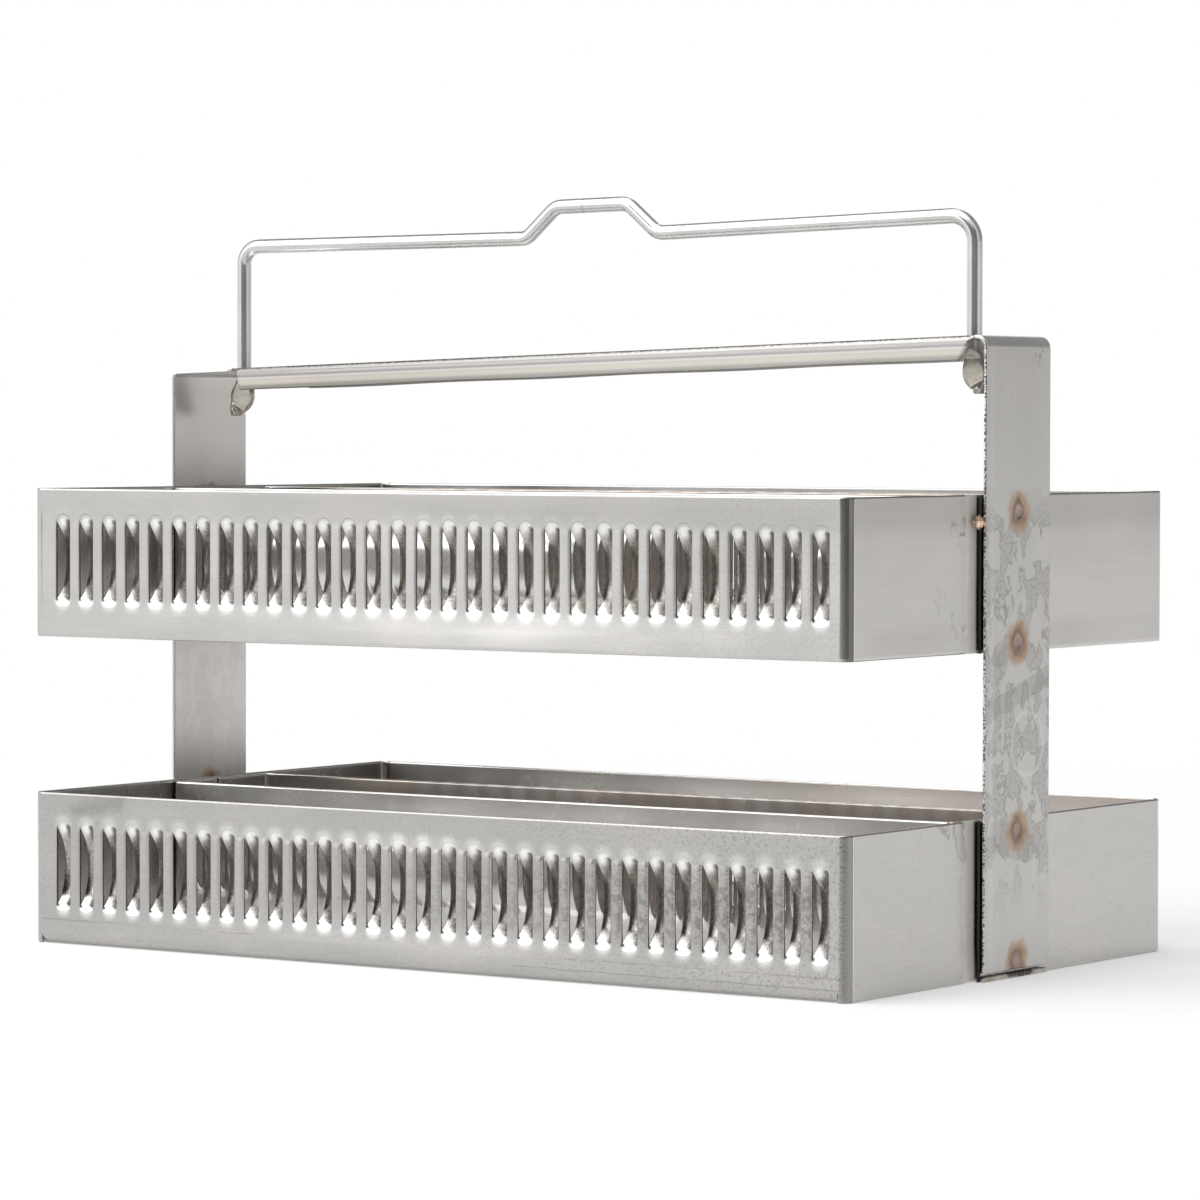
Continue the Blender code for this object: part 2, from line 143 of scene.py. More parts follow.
def tube_faces(stations, sides, flip=False):
    """Faces of a tube over rings of points, one ring after another, capped at both ends."""
    faces = []
    for start in range(0, (stations - 1) * sides, sides):
        for k in range(sides):
            a = start + k
            b = start + (k + 1) % sides
            faces.append([b, a, a + sides, b + sides])
    faces.append(list(range(sides)))
    faces.append(list(range((stations - 1) * sides, stations * sides))[::-1])
    return [face[::-1] for face in faces] if flip else faces


def turned_points(centre, radius, before, after, turn):
    """Points (x, y) round a centre, from one direction towards another."""
    cos = np.cos(turn)
    sin = np.sin(turn)
    return [centre[i] + radius * (cos * before[i] + sin * after[i]) for i in (0, 1)]


class Sheet:
    """The drawn side of a thin sheet, gathered patch by patch, then given its thickness."""

    def __init__(self):
        self.points = []
        self.quads = []
        self.edges = []
        self.count = 0

    def patch(self, grid, edge=0.2):
        """A grid of points; its face looks along (column way) x (row way). edge rounds cut rims."""
        rows, columns = grid.shape[:2]
        index = np.arange(rows * columns).reshape(rows, columns) + self.count
        self.points.append(grid.reshape(-1, 3))
        self.edges.append(np.broadcast_to(edge, (rows, columns)).reshape(-1))
        quads = np.stack([index[:-1, :-1], index[:-1, 1:], index[1:, 1:], index[1:, :-1]], -1)
        self.quads.append(quads.reshape(-1, 4))
        self.count += rows * columns

    def solid(self, thickness):
        """Merges the patches and adds the back and the rounded rims."""
        points = np.concatenate(self.points)
        quads = np.concatenate(self.quads)
        key = np.round(points / 0.001 + 0.137).astype(np.int64)
        _, first, inverse = np.unique(key, axis=0, return_index=True, return_inverse=True)
        points = points[first]
        edge = np.concatenate(self.edges)[first]
        quads = inverse.reshape(-1)[quads]
        a, b, c, d = (points[quads[:, k]] for k in range(4))
        face = np.cross(c - a, d - b)
        normal = np.zeros_like(points)
        for k in range(4):
            np.add.at(normal, quads[:, k], face)
        normal /= np.linalg.norm(normal, axis=1, keepdims=True) + 1e-12
        count = len(points)
        sides = np.concatenate([quads[:, [k, (k + 1) % 4]] for k in range(4)])
        code = sides[:, 0] * count + sides[:, 1]
        rim = sides[~np.isin(code, sides[:, 1] * count + sides[:, 0])]
        way = points[rim[:, 1]] - points[rim[:, 0]]
        out = np.cross(way, normal[rim[:, 0]] + normal[rim[:, 1]])
        out /= np.linalg.norm(out, axis=1, keepdims=True) + 1e-12
        spread = np.zeros_like(points)
        np.add.at(spread, rim[:, 0], out)
        np.add.at(spread, rim[:, 1], out)
        spread *= 0.5 * edge[:, None]
        front = points - spread
        back = front - normal * thickness
        border = np.unique(rim)
        place = np.full(count, -1)
        place[border] = np.arange(len(border))
        upper = points[border] - spread[border] * 0.15 - normal[border] * thickness * 0.2
        lower = points[border] - spread[border] * 0.15 - normal[border] * thickness * 0.8
        rows = [rim, place[rim] + 2 * count, place[rim] + 2 * count + len(border), rim + count]
        faces = [quads, quads[:, ::-1] + count]
        for above, below in zip(rows, rows[1:]):
            faces.append(np.stack([above[:, 1], above[:, 0], below[:, 0], below[:, 1]], -1))
        return np.concatenate([front, back, upper, lower]), np.concatenate(faces)


def stacked(x, y, z):
    return np.stack(np.broadcast_arrays(x, y, z), -1)


def hermite(x, knots):
    """Smooth curve through (position, value, slope) knots, flat outside them."""
    x = np.asarray(x, float)
    result = np.where(x <= knots[0][0], knots[0][1], knots[-1][1])
    for (x0, y0, m0), (x1, y1, m1) in zip(knots, knots[1:]):
        span = x1 - x0
        t = (x - x0) / span
        value = (y0 * (2 * t ** 3 - 3 * t ** 2 + 1) + m0 * span * (t ** 3 - 2 * t ** 2 + t)
                 + y1 * (3 * t ** 2 - 2 * t ** 3) + m1 * span * (t ** 3 - t ** 2))
        result = np.where((x >= x0) & (x < x1), value, result)
    return result


def step(x, low, high):
    t = np.clip((np.asarray(x, float) - low) / (high - low), 0.0, 1.0)
    return t * t * (3 - 2 * t)


def plateau(x, low, rise, fall, high):
    """Rises from 0 at low to 1 at rise, falls again from fall to high."""
    return step(x, low, rise) * (1 - step(x, fall, high))


# ---------------------------------------------------------------- lanced rings

class Strip:
    """Heights of one row of drawn strips and the depth of a strip at any point of it."""

    def __init__(self, low, high):
        self.low = low                 # the lower bowl begins
        self.cut_low = low + 0.8       # the shears begin
        self.cut_high = high - 1.05    # the shears end
        self.high = high               # the upper bowl ends

    def rows(self):
        """Heights that the mesh needs, upwards."""
        return np.concatenate([
            self.low + np.array([0.0, 0.25, 0.5, 0.66]),
            self.cut_low + np.array([0.0, 0.2, 0.5, 0.9, 1.4, 2.0, 2.75, 3.5, 4.2]),
            [(self.cut_low + self.cut_high) / 2 + 0.4],
            self.cut_high - np.array([3.4, 2.8, 2.3, 1.75, 1.2, 0.75, 0.35, 0.0]),
            self.cut_high + np.array([0.25, 0.5, 0.74, 0.93, 1.05])])

    def edge(self, z):
        """Share of the full depth at the sheared sides."""
        z = np.asarray(z, float)
        c = self.cut_low
        t = self.cut_high
        low = 0.05 * step(z, self.low, c)
        high = 0.05 * (1 - step(z, t, self.high))
        open_part = hermite(z, [(c, 0.05, 0.62), (c + 1.0, 0.54, 0.33), (c + 2.75, 0.89, 0.10),
                                (c + 4.2, 1.0, 0.0), (t - 3.4, 1.0, -0.01), (t - 2.3, 0.86, -0.22),
                                (t - 1.2, 0.53, -0.37), (t, 0.05, -0.44)])
        return np.where(z < c, low, np.where(z > t, high, open_part))

    def middle(self, z):
        """Share of the full depth on the strip's middle line."""
        c = self.cut_low
        t = self.cut_high
        return hermite(z, [(self.low, 0.0, 0.08), (c, 0.26, 0.48), (c + 1.0, 0.66, 0.30),
                           (c + 2.75, 0.93, 0.07), (c + 4.2, 1.0, 0.0), (t - 3.4, 1.0, 0.0),
                           (t - 2.3, 0.92, -0.16), (t - 1.2, 0.67, -0.28), (t, 0.33, -0.30),
                           (self.high, 0.0, -0.16)])

    def roll(self, z):
        """Share of the full depth by which the flats' sheared edges are rolled in."""
        return 0.05 * plateau(z, self.low, self.cut_low, self.cut_high, self.high)

    def raised(self, z):
        """Where the flats between strips are crowned, 0 to 1."""
        return plateau(z, self.cut_low + 0.2, self.cut_low + 2.0, self.cut_high - 0.5,
                       self.cut_high + 0.25)


class Wall:
    def __init__(self, start, end):
        self.start = np.array(start, float)
        way = np.array(end, float) - self.start
        self.length = float(np.hypot(*way))
        self.along = way / self.length
        self.out = np.array([-self.along[1], self.along[0]])

    def at(self, run, out, z):
        x, y = (self.start[i] + self.along[i] * run + self.out[i] * out for i in (0, 1))
        return stacked(x, y, z)


def lanced_wall(sheet, wall, rows, strip, side, warp, random, fine, twist, crown):
    """A long wall: rows run downwards; every strip is drawn out of it between two shears."""
    half = STRIP_WIDTH / 2
    centres = [STRIP_SHIFT + STRIP_PITCH * (i - (STRIP_COUNT - 1) / 2) for i in range(STRIP_COUNT)]
    runs = sorted((x - wall.start[0]) * wall.along[0] for x in centres)
    if fine:
        across = np.array([-1.0, -0.93, -0.62, -0.21, 0.21, 0.62, 0.93, 1.0])
        between = np.array([0.0, 0.07, 0.26, 0.5, 0.74, 0.93, 1.0])
    else:
        across = np.array([-1.0, -0.9, -0.4, 0.4, 0.9, 1.0])
        between = np.array([0.0, 0.1, 0.5, 0.9, 1.0])
    z = rows[:, None]
    cut = (rows > strip.cut_low - 0.01) & (rows < strip.cut_high + 0.01)
    rim = np.where(cut, 0.055, 0.2)[:, None]
    used = []

    def flat(columns, left, right):
        run = columns[None, :]
        roll = np.zeros((len(rows), len(columns)))
        for edge, present in ((columns[0], left), (columns[-1], right)):
            if present:
                near = np.clip(1 - np.abs(run - edge) / 0.55, 0, 1) ** 2
                roll = roll + near * strip.roll(z) * STRIP_DEPTH
        if left and right:
            share = (run - columns[0]) / (columns[-1] - columns[0])
            ends = np.sin(np.pi * run / wall.length) ** 0.35
            roll = roll - crown * ends * (1 - (2 * share - 1) ** 2) * strip.raised(z)
        sheet.patch(wall.at(run, side * roll + warp(run, z), z), rim)
        used.append(columns)

    first = runs[0] - half
    start = np.concatenate([[0.0, RELIEF, 0.55], np.linspace(1.0, first - 0.14, 4), [first]])
    flat(start, False, True)
    for i, run in enumerate(runs):
        depth = STRIP_DEPTH * (1 + random.uniform(-0.05, 0.03))
        lean = random.uniform(-0.05, 0.05) + twist(run)
        u = across[None, :]
        edge = strip.edge(z)
        middle = strip.middle(z)
        # the upper bowl ends in a half circle, the lower one runs out softly
        rise = np.clip((z - strip.cut_high) / (strip.high - strip.cut_high), 0, 1)
        reach = np.sqrt(np.clip(1 - rise ** 2, 0.02, 1))
        bowl = np.where(cut[:, None], 2.6, 2.0)
        across_shape = np.clip(1 - (np.abs(u) / reach) ** bowl, 0, 1)
        shape = edge + (middle - edge) * across_shape
        free = np.where(cut[:, None], edge - 0.05, 0.0)
        d = depth * shape + free * lean * u
        d = np.where(np.abs(u) > 0.999, np.where(cut[:, None], d, STRIP_DEPTH * edge), d)
        ends = (np.abs(z - strip.cut_low) < 0.01) | (np.abs(z - strip.cut_high) < 0.01)
        d = np.where((np.abs(u) > 0.999) & ends, STRIP_DEPTH * 0.05, d)
        columns = run + half * across
        sheet.patch(wall.at(columns[None, :], side * d + warp(columns[None, :], z), z), rim)
        used.append(columns)
        if i + 1 < len(runs):
            after = runs[i + 1] - half
            flat(columns[-1] + (after - columns[-1]) * between, True, True)
    last = runs[-1] + half
    rest = wall.length - last
    end = np.concatenate([[last], np.linspace(last + 0.14, wall.length - 1.0, 4),
                          [wall.length - 0.55, wall.length - RELIEF, wall.length]])
    short = np.array([last, wall.length - RELIEF, wall.length])
    flat(end if rest > 1.3 else short, True, False)
    return np.unique(np.round(np.concatenate(used), 9))


def straight(run):
    return 0.0


def ring(name, material, corners, radius, base, top, row, side, ledge, seed,
         crown=0.03, twist=straight):
    """A strip of sheet bent round a rectangle with rounded upright corners and lanced long walls.

    side is -1 where the drawn face looks outwards, with more columns, and 1 for the inner rings.
    """
    low, high = row
    fine = side < 0
    random = np.random.RandomState(seed)
    strip = Strip(low, high)
    foot = base + LEDGE_R if ledge else base
    inner = strip.rows()
    if not fine:
        keep = np.ones(len(inner), bool)
        keep[[1, 5, 8, 15, 17, 19, 23]] = False
        inner = inner[keep]
    upward = np.concatenate([[foot, foot + 0.45, (foot + low) / 2 + 0.2, low - 0.3], inner,
                             [high + 0.3, (high + top) / 2, top - 0.55, top - 0.28, top]])
    rows = upward[::-1]
    below = np.array([foot - 0.4, base + 0.45, base]) if ledge else np.array([])
    full = np.concatenate([rows, below])
    sheet = Sheet()
    phase = random.uniform(0, 6.28, 8)
    before = None
    for i in range(len(corners) - 1):
        start = np.array(corners[i], float)
        end = np.array(corners[i + 1], float)
        way = (end - start) / np.hypot(*(end - start))
        if i > 0:
            start = start + way * radius
        if i < len(corners) - 2:
            end = end - way * radius
        wall = Wall(start, end)
        lanced = abs(way[0]) > 0.5

        def warp(run, z, wall=wall, i=i, lanced=lanced):
            # slow waves of the thin sheet, fading out towards its folds and edges
            share = np.asarray(run, float) / wall.length
            ends = np.sin(np.pi * np.clip(share, 0, 1)) ** 0.35
            wave = (0.08 * np.sin(2 * np.pi * share * 1.3 + phase[i])
                    + 0.03 * np.sin(2 * np.pi * share * 4.1 + phase[i] * 2 + 0.25 * z))
            # drawing the strips has pulled the wall in along their row
            pulled = plateau(z, low - 2.8, low + 0.5, high - 0.4, high + 2.6)
            wave = (wave + 0.11 * side) * step(z, foot + 0.1, foot + 3.5)
            return ends * (wave + side * WALL_DISH * lanced * pulled)

        if before is not None:
            turn = np.radians(np.linspace(0, 90, 9))[None, :]
            x, y = turned_points(start - wall.out * radius, radius, before.out, before.along, turn)
            sheet.patch(stacked(x, y, full[:, None]))
        if lanced:
            columns = lanced_wall(sheet, wall, rows, strip, side, warp, random, fine, twist, crown)
            if ledge:
                inside = np.abs(columns - wall.length / 2) < wall.length / 2 - RELIEF + 1e-6
                columns = columns[inside]
                bend = LEDGE_R if side < 0 else LEDGE_R - SHEET
                turn = np.radians(np.linspace(0, 90, 6))
                out = side * bend * (1 - np.cos(turn))
                z = base + LEDGE_R - bend * np.sin(turn)
                level = base if side < 0 else base + SHEET
                out = np.concatenate([out, side * np.array([LEDGE - 0.3, LEDGE])])
                z = np.concatenate([z, [level, level]])
                sheet.patch(wall.at(columns[None, :], out[:, None], z[:, None]), 0.15)
        else:
            spans = max(4, int(wall.length / 3.0))
            columns = np.unique(np.concatenate([[0, 0.45, wall.length - 0.45, wall.length],
                                                np.linspace(0.45, wall.length - 0.45, spans)]))
            sheet.patch(wall.at(columns[None, :], warp(columns[None, :], full[:, None]),
                                full[:, None]))
        before = wall
    points, faces = sheet.solid(SHEET)
    return make_object(name, points, faces, material)


def outer_ring(name, material, base, height, row, ledge, seed, crown=0.03, twist=straight):
    x = LENGTH / 2
    y = WIDTH / 2
    corners = [(TUCKED_X, STRAP_Y + STRAP_WIDTH / 2 + 1.0), (TUCKED_X, -y), (-x, -y), (-x, y),
               (x, y), (x, STRAP_Y - STRAP_WIDTH / 2 - 0.05)]
    return ring(name, material, corners, CORNER_R, base, base + height, row, -1, ledge, seed,
                crown, twist)


def inner_ring(name, material, base, height, row, ledge, seed):
    left = -TUCKED_X
    right = TUCKED_X - SHEET - LAYER_GAP
    y = MIDDLE_WIDTH / 2
    corners = [(left, STRAP_Y + INNER_SEAM / 2), (left, y), (right, y), (right, -y), (left, -y),
               (left, STRAP_Y - INNER_SEAM / 2)]
    return ring(name, material, corners, INNER_CORNER_R, base, base + height - INNER_DROP, row, 1,
                ledge, seed)


# ---------------------------------------------------------------- strap

def strap_path():
    """Stations (x, z) of the strap's outer face from the right, and its bar's first and last."""
    tilt = math.atan(BAR_SLOPE)
    fine = np.linspace(-1.15, 1.15, 13)
    heights = [STRAP_FOOT, STRAP_FOOT + 0.3]
    bend_z = bar_top(STRAP_X) - STRAP_BEND_R_RIGHT
    for spot in SPOT_HEIGHTS:
        heights += list(spot + fine)
    heights += list(np.arange(4.0, bend_z - 0.6, 1.5))
    heights = sorted(h for h in heights if h >= STRAP_FOOT)
    kept = [heights[0]]
    for h in heights[1:]:
        if h - kept[-1] > 0.12:
            kept.append(h)
    points = [(STRAP_X, h) for h in kept]
    marks = []
    for side, radius in ((1, STRAP_BEND_R_RIGHT), (-1, STRAP_BEND_R_LEFT)):
        x = side * (STRAP_X - radius)
        z = bar_top(x) - radius / math.cos(tilt)
        last = math.pi / 2 + tilt if side > 0 else math.pi / 2 - tilt
        arc = [(x + side * radius * math.cos(last * k / 9), z + radius * math.sin(last * k / 9))
               for k in range(10)]
        if side > 0:
            points += arc
            marks.append(len(points) - 1)
        else:
            marks.append(len(points))
            points += arc[::-1]
    left_top = points[-1][1]
    points += [(-STRAP_X, h) for h in kept[::-1] if h < left_top - 0.4]
    return points, marks


def yoke(material):
    half = STRAP_WIDTH / 2
    flat = half - LIP_R
    sheet = Sheet()
    points, (bar_first, bar_last) = strap_path()
    outer = np.concatenate([np.linspace(half, half - 0.3, 2), np.linspace(half - LIP_R, 1.4, 6),
                            np.linspace(1.1, -1.1, 12), np.linspace(-1.4, LIP_R - half, 6),
                            np.linspace(0.3 - half, -half, 2)])

    def dimple(x, y, z):
        """Depth of the spot welds' craters with a low rim, on the legs only."""
        d = np.zeros(np.broadcast(x, y, z).shape)
        for k, spot in enumerate(SPOT_HEIGHTS):
            r = np.hypot(y - 0.12 * math.sin(3 * k), z - spot)
            d = d + 0.11 * (1 - step(r, 0.45, 1.0)) + 0.05 * np.exp(-((r - 1.35) / 0.2) ** 2)
        return d * (np.abs(x) > STRAP_X - 0.01)

    def leg(stations):
        x = np.array([p[0] for p in stations])[None, :]
        z = np.array([p[1] for p in stations])[None, :]
        y = outer[:, None]
        d = dimple(x, y, z)
        return stacked(x - np.sign(x) * d, STRAP_Y + y, z)

    sheet.patch(leg(points[:bar_first + 1]), STRAP_RIM)
    sheet.patch(leg(points[bar_last:]), STRAP_RIM)

    lip_right = STRAP_X - LIP_INSET_RIGHT
    lip_left = -STRAP_X + LIP_INSET_LEFT
    middle = outer[(outer <= flat + 1e-6) & (outer >= -flat - 1e-6)]

    def sag(x, y):
        """The bar's top dishes a little between its lips."""
        share = np.clip((x - lip_left) / (lip_right - lip_left), 0, 1)
        return 0.10 * np.sin(np.pi * share) ** 0.5 * (1 - (y / flat) ** 2).clip(0)

    def bar(xs, ys):
        x = xs[None, :]
        y = ys[:, None]
        return stacked(x, STRAP_Y + y, bar_top(x) - sag(x, y))

    x_first = points[bar_first][0]
    x_last = points[bar_last][0]
    sheet.patch(bar(np.array([x_first, lip_right + RELIEF]), outer), STRAP_RIM)
    sheet.patch(bar(np.linspace(lip_left - RELIEF, x_last, 9), outer), STRAP_RIM)
    length_steps = np.concatenate([[0.0, 0.004], np.linspace(0.012, 0.988, 60), [0.996, 1.0]])
    columns = lip_right + (lip_left - lip_right) * length_steps
    between = np.concatenate([[lip_right + RELIEF], columns, [lip_left - RELIEF]])
    sheet.patch(bar(between, middle), STRAP_RIM)
    turns = np.radians([0, 15, 30, 45, 60, 75, 90])
    developed = math.pi / 2 * LIP_R + LIP_DEPTH - LIP_R
    random = np.random.RandomState(5)
    for side in (-1, 1):
        outs = list(LIP_R * np.sin(turns)) + [LIP_R] * 4
        drops = list(LIP_R * (1 - np.cos(turns))) + [1.5, 2.2, LIP_DEPTH - 0.25, LIP_DEPTH]
        travel = list(LIP_R * turns) + [math.pi / 2 * LIP_R + d - LIP_R for d in drops[7:]]
        grid = []
        for k, (out, drop, run) in enumerate(zip(outs, drops, travel)):
            share = run / developed
            torn = random.uniform(-0.22, 0.22) * (0.2 < share)
            right = lip_right - LIP_CUT_RIGHT * share + torn
            left = lip_left + LIP_CUT_LEFT * share
            x = right + (left - right) * length_steps
            wave = 0.05 * np.sin(x * 0.21 + side) * min(1.0, share * 2)
            shorter = 0.35 if side > 0 and drop > 1.2 else 0.0
            grid.append(stacked(x, STRAP_Y + side * (flat + out),
                                bar_top(x) - drop + shorter + wave * (share > 0.9)))
        grid = np.array(grid)
        if side > 0:
            grid = grid[::-1]
        sheet.patch(grid, 0.1)
    verts, faces = sheet.solid(SHEET)
    strap = make_object("strap", verts, faces, material)
    for side in (-1, 1):
        hole = WIRE_D / 2 + HOLE_CLEARANCE
        cutter = round_bar((side * BAIL_X, STRAP_Y), bar_top(side * BAIL_X), hole)
        modifier = strap.modifiers.new("hole", "BOOLEAN")
        modifier.operation = "DIFFERENCE"
        modifier.solver = "EXACT"
        modifier.object = cutter
        bpy.context.view_layer.update()
        graph = bpy.context.evaluated_depsgraph_get()
        mesh = bpy.data.meshes.new_from_object(strap.evaluated_get(graph))
        strap.modifiers.clear()
        strap.data = mesh
        bpy.data.objects.remove(cutter)
    strap.data.name = "strap"
    return strap


def round_bar(centre, height, radius):
    """A short upright cylinder that punches a hole."""
    sides = 40
    turns = [2 * math.pi * k / sides for k in range(sides)]
    points = [(centre[0] + radius * math.cos(turn), centre[1] + radius * math.sin(turn), z)
              for z in (height - 2, height + 2) for turn in turns]
    return make_object("punch", points, tube_faces(2, sides, True), None)


# ---------------------------------------------------------------- bail

def rounded(points, radii, steps):
    """The line through the points with its corners replaced by arcs of these radii."""
    result = [points[0]]
    for i in range(1, len(points) - 1):
        corner = points[i]
        back = (points[i - 1] - corner).normalized()
        forth = (points[i + 1] - corner).normalized()
        angle = back.angle(forth)
        reach = radii[i - 1] / math.tan(angle / 2)
        centre = corner + (back + forth).normalized() * (radii[i - 1] / math.sin(angle / 2))
        first = corner + back * reach - centre
        last = corner + forth * reach - centre
        sweep = first.angle(last)
        for k in range(steps + 1):
            share = k / steps
            blend = first * math.sin(sweep * (1 - share)) + last * math.sin(sweep * share)
            result.append(centre + blend / math.sin(sweep))
    result.append(points[-1])
    return result


def bail(material):
    """The carrying wire with its pinched feet."""
    sides = 24
    top_left = bar_top(-BAIL_X) + BAIL_RISE_LEFT
    top_right = bar_top(BAIL_X) + BAIL_RISE_RIGHT
    slope = (top_right - top_left) / (2 * BAIL_X)

    def run_height(x):
        dip = min(1.0, (BAIL_X - abs(x)) / (BAIL_X - HUMP_FOOT / 2))
        return top_left + slope * (x + BAIL_X) - BAIL_SAG * dip

    def foot(side, drop, turn, lean):
        shoulder = bar_top(side * BAIL_X) - SHEET - drop
        stations = []
        for k in range(23):
            share = k / 22
            swell = math.sin(math.pi * share ** 1.35)
            wide = WIRE_D / 2 + (EAR_WIDTH - WIRE_D) / 2 * swell
            thin = WIRE_D / 2 + (EAR_THICKNESS - WIRE_D) / 2 * min(1.0, 3.2 * swell)
            square = 2.0 + 3.5 * min(1.0, 2.6 * swell)
            bow = lean * share ** 3
            place = Vector((side * BAIL_X + bow, 0, shoulder - EAR_LENGTH * share))
            stations.append((place, wide, thin, turn, square))
        end = shoulder - EAR_LENGTH - STUB_LENGTH
        for rise, size in ((0.55, 1.0), (0.25, 1.0), (0.1, 0.93), (0.0, 0.78)):
            stations.append((Vector((side * BAIL_X + lean, 0, end + rise)), STUB_D / 2 * size,
                             STUB_D / 2 * size, turn, 2.0))
        return stations

    left_foot = foot(-1, EAR_DROP_LEFT, math.radians(EAR_TURN_LEFT), STUB_LEAN_LEFT)
    right_foot = foot(1, EAR_DROP_RIGHT, 0.0, STUB_LEAN_RIGHT)
    chain = [Vector((-BAIL_X, 0, left_foot[0][0].z + 0.4)), Vector((-BAIL_X, 0, top_left)),
             Vector((-HUMP_FOOT / 2, 0, run_height(-HUMP_FOOT / 2))),
             Vector((-HUMP_TOP / 2, 0, run_height(-HUMP_TOP / 2) + HUMP_RISE)),
             Vector((HUMP_TOP / 2, 0, run_height(HUMP_TOP / 2) + HUMP_RISE)),
             Vector((HUMP_FOOT / 2, 0, run_height(HUMP_FOOT / 2))),
             Vector((BAIL_X, 0, top_right)), Vector((BAIL_X, 0, right_foot[0][0].z + 0.4))]
    radii = [BAIL_BEND_R_LEFT, HUMP_R, HUMP_R, HUMP_R, HUMP_R, BAIL_BEND_R_RIGHT]
    line = rounded(chain, radii, 10)
    middle = []
    for a, b in zip(line, line[1:]):
        pieces = max(1, int((b - a).length / 2.0))
        for k in range(pieces):
            middle.append((a.lerp(b, k / pieces), WIRE_D / 2, WIRE_D / 2, 0.0, 2.0))
    middle.append((line[-1], WIRE_D / 2, WIRE_D / 2, 0.0, 2.0))
    stations = left_foot[::-1] + middle + right_foot
    points = []
    for i, (point, wide, thin, turn, square) in enumerate(stations):
        before = stations[max(i - 1, 0)][0]
        after = stations[min(i + 1, len(stations) - 1)][0]
        way = (after - before).normalized()
        across = Vector((0, 1, 0)).cross(way)
        depth = Vector((0, 1, 0))
        flat = math.cos(turn) * across + math.sin(turn) * depth
        edge = -math.sin(turn) * across + math.cos(turn) * depth
        for k in range(sides):
            angle = 2 * math.pi * k / sides
            c = math.cos(angle)
            s = math.sin(angle)
            u = math.copysign(abs(c) ** (2 / square), c)
            v = math.copysign(abs(s) ** (2 / square), s)
            points.append(point + wide * u * flat + thin * v * edge + Vector((0, STRAP_Y, 0)))
    faces = tube_faces(len(stations), sides)
    return make_object("bail", [tuple(p) for p in points], faces, material)


# ---------------------------------------------------------------- welds

def edge_bead(name, side, seed, material):
    """The fused bead at a leg's foot, rippled as it froze."""
    random = np.random.RandomState(seed)
    inner = LENGTH / 2 + LAYER_GAP
    top = STRAP_FOOT - LAYER_GAP
    section = np.array([(0.0, 0.0), (0.5, 0.0), (0.78, 0.1), (0.95, 0.34), (1.0, 0.6), (0.93, 0.85),
                        (0.75, 0.98), (0.4, 1.0), (0.0, 1.0)])
    reach = STRAP_WIDTH / 2
    ys = np.linspace(-reach, reach, 90)
    ripple = 1 - 0.10 * np.abs(np.sin(ys * 3.3 + random.uniform(0, 3)))
    ripple -= 0.05 * random.rand(len(ys))
    ripple *= 0.62 + 0.38 * step(reach - np.abs(ys), 0.0, 0.6)
    points = []
    for y, size in zip(ys, ripple):
        for u, v in section:
            points.append((side * (inner + SHEET * u * (size if u > 0 else 1.0)), STRAP_Y + y,
                           top * v * (size if v > 0 else 1.0)))
    return make_object(name, points, tube_faces(len(ys), len(section), side < 0), material)


def burr(material):
    """A flake of weld metal squeezed out of the seam beside the right leg."""
    random = np.random.RandomState(8)
    points = []
    centre = np.array([LENGTH / 2, STRAP_Y - STRAP_WIDTH / 2 - 0.55, 55.6])
    rings = ((-1.0, 1), (-0.55, 5), (0.15, 6), (0.7, 5), (1.0, 1))
    for rise, count in rings:
        for k in range(count):
            turn = 2 * math.pi * (k + random.uniform(-0.2, 0.2)) / count
            reach = math.sqrt(max(0.0, 1 - rise * rise)) * random.uniform(0.75, 1.0)
            points.append(centre + np.array([0.68 * reach * math.cos(turn),
                                             1.15 * reach * math.sin(turn), 0.95 * rise]))
    shape = bmesh.new()
    for point in points:
        shape.verts.new(tuple(point * MM))
    bmesh.ops.convex_hull(shape, input=shape.verts)
    mesh = bpy.data.meshes.new("burr")
    shape.to_mesh(mesh)
    shape.free()
    mesh.materials.append(material)
    return add_object("burr", mesh)


# ---------------------------------------------------------------- materials

def operation(kind):
    """A method of Value that is one math node."""
    return lambda value, *others: value.steel.math(kind, value, *others)


class Value:
    """A number in a steel's node tree, with the usual arithmetic."""

    def __init__(self, steel, socket):
        self.steel = steel
        self.socket = socket

    __add__ = operation("ADD")
    __sub__ = operation("SUBTRACT")
    __mul__ = operation("MULTIPLY")
    __truediv__ = operation("DIVIDE")
    __abs__ = operation("ABSOLUTE")
    most = operation("MAXIMUM")
    least = operation("MINIMUM")

    def __rsub__(self, other):
        return self.steel.math("SUBTRACT", other, self)

    def hypot(self, other):
        return self.steel.math("SQRT", self * self + other * other)

    def ramp(self, low, high, start=0.0, end=1.0):
        """Goes smoothly from start at low to end at high."""
        node = self.steel.node("MapRange", self, low, high, start, end,
                               interpolation_type="SMOOTHSTEP")
        return Value(self.steel, node.outputs[0])

    def fall(self, low, high):
        return self.ramp(low, high, 1.0, 0.0)

    def band(self, centre, half, soft):
        """1 within half of the centre, 0 beyond half + soft."""
        return abs(self - centre).fall(half, half + soft)


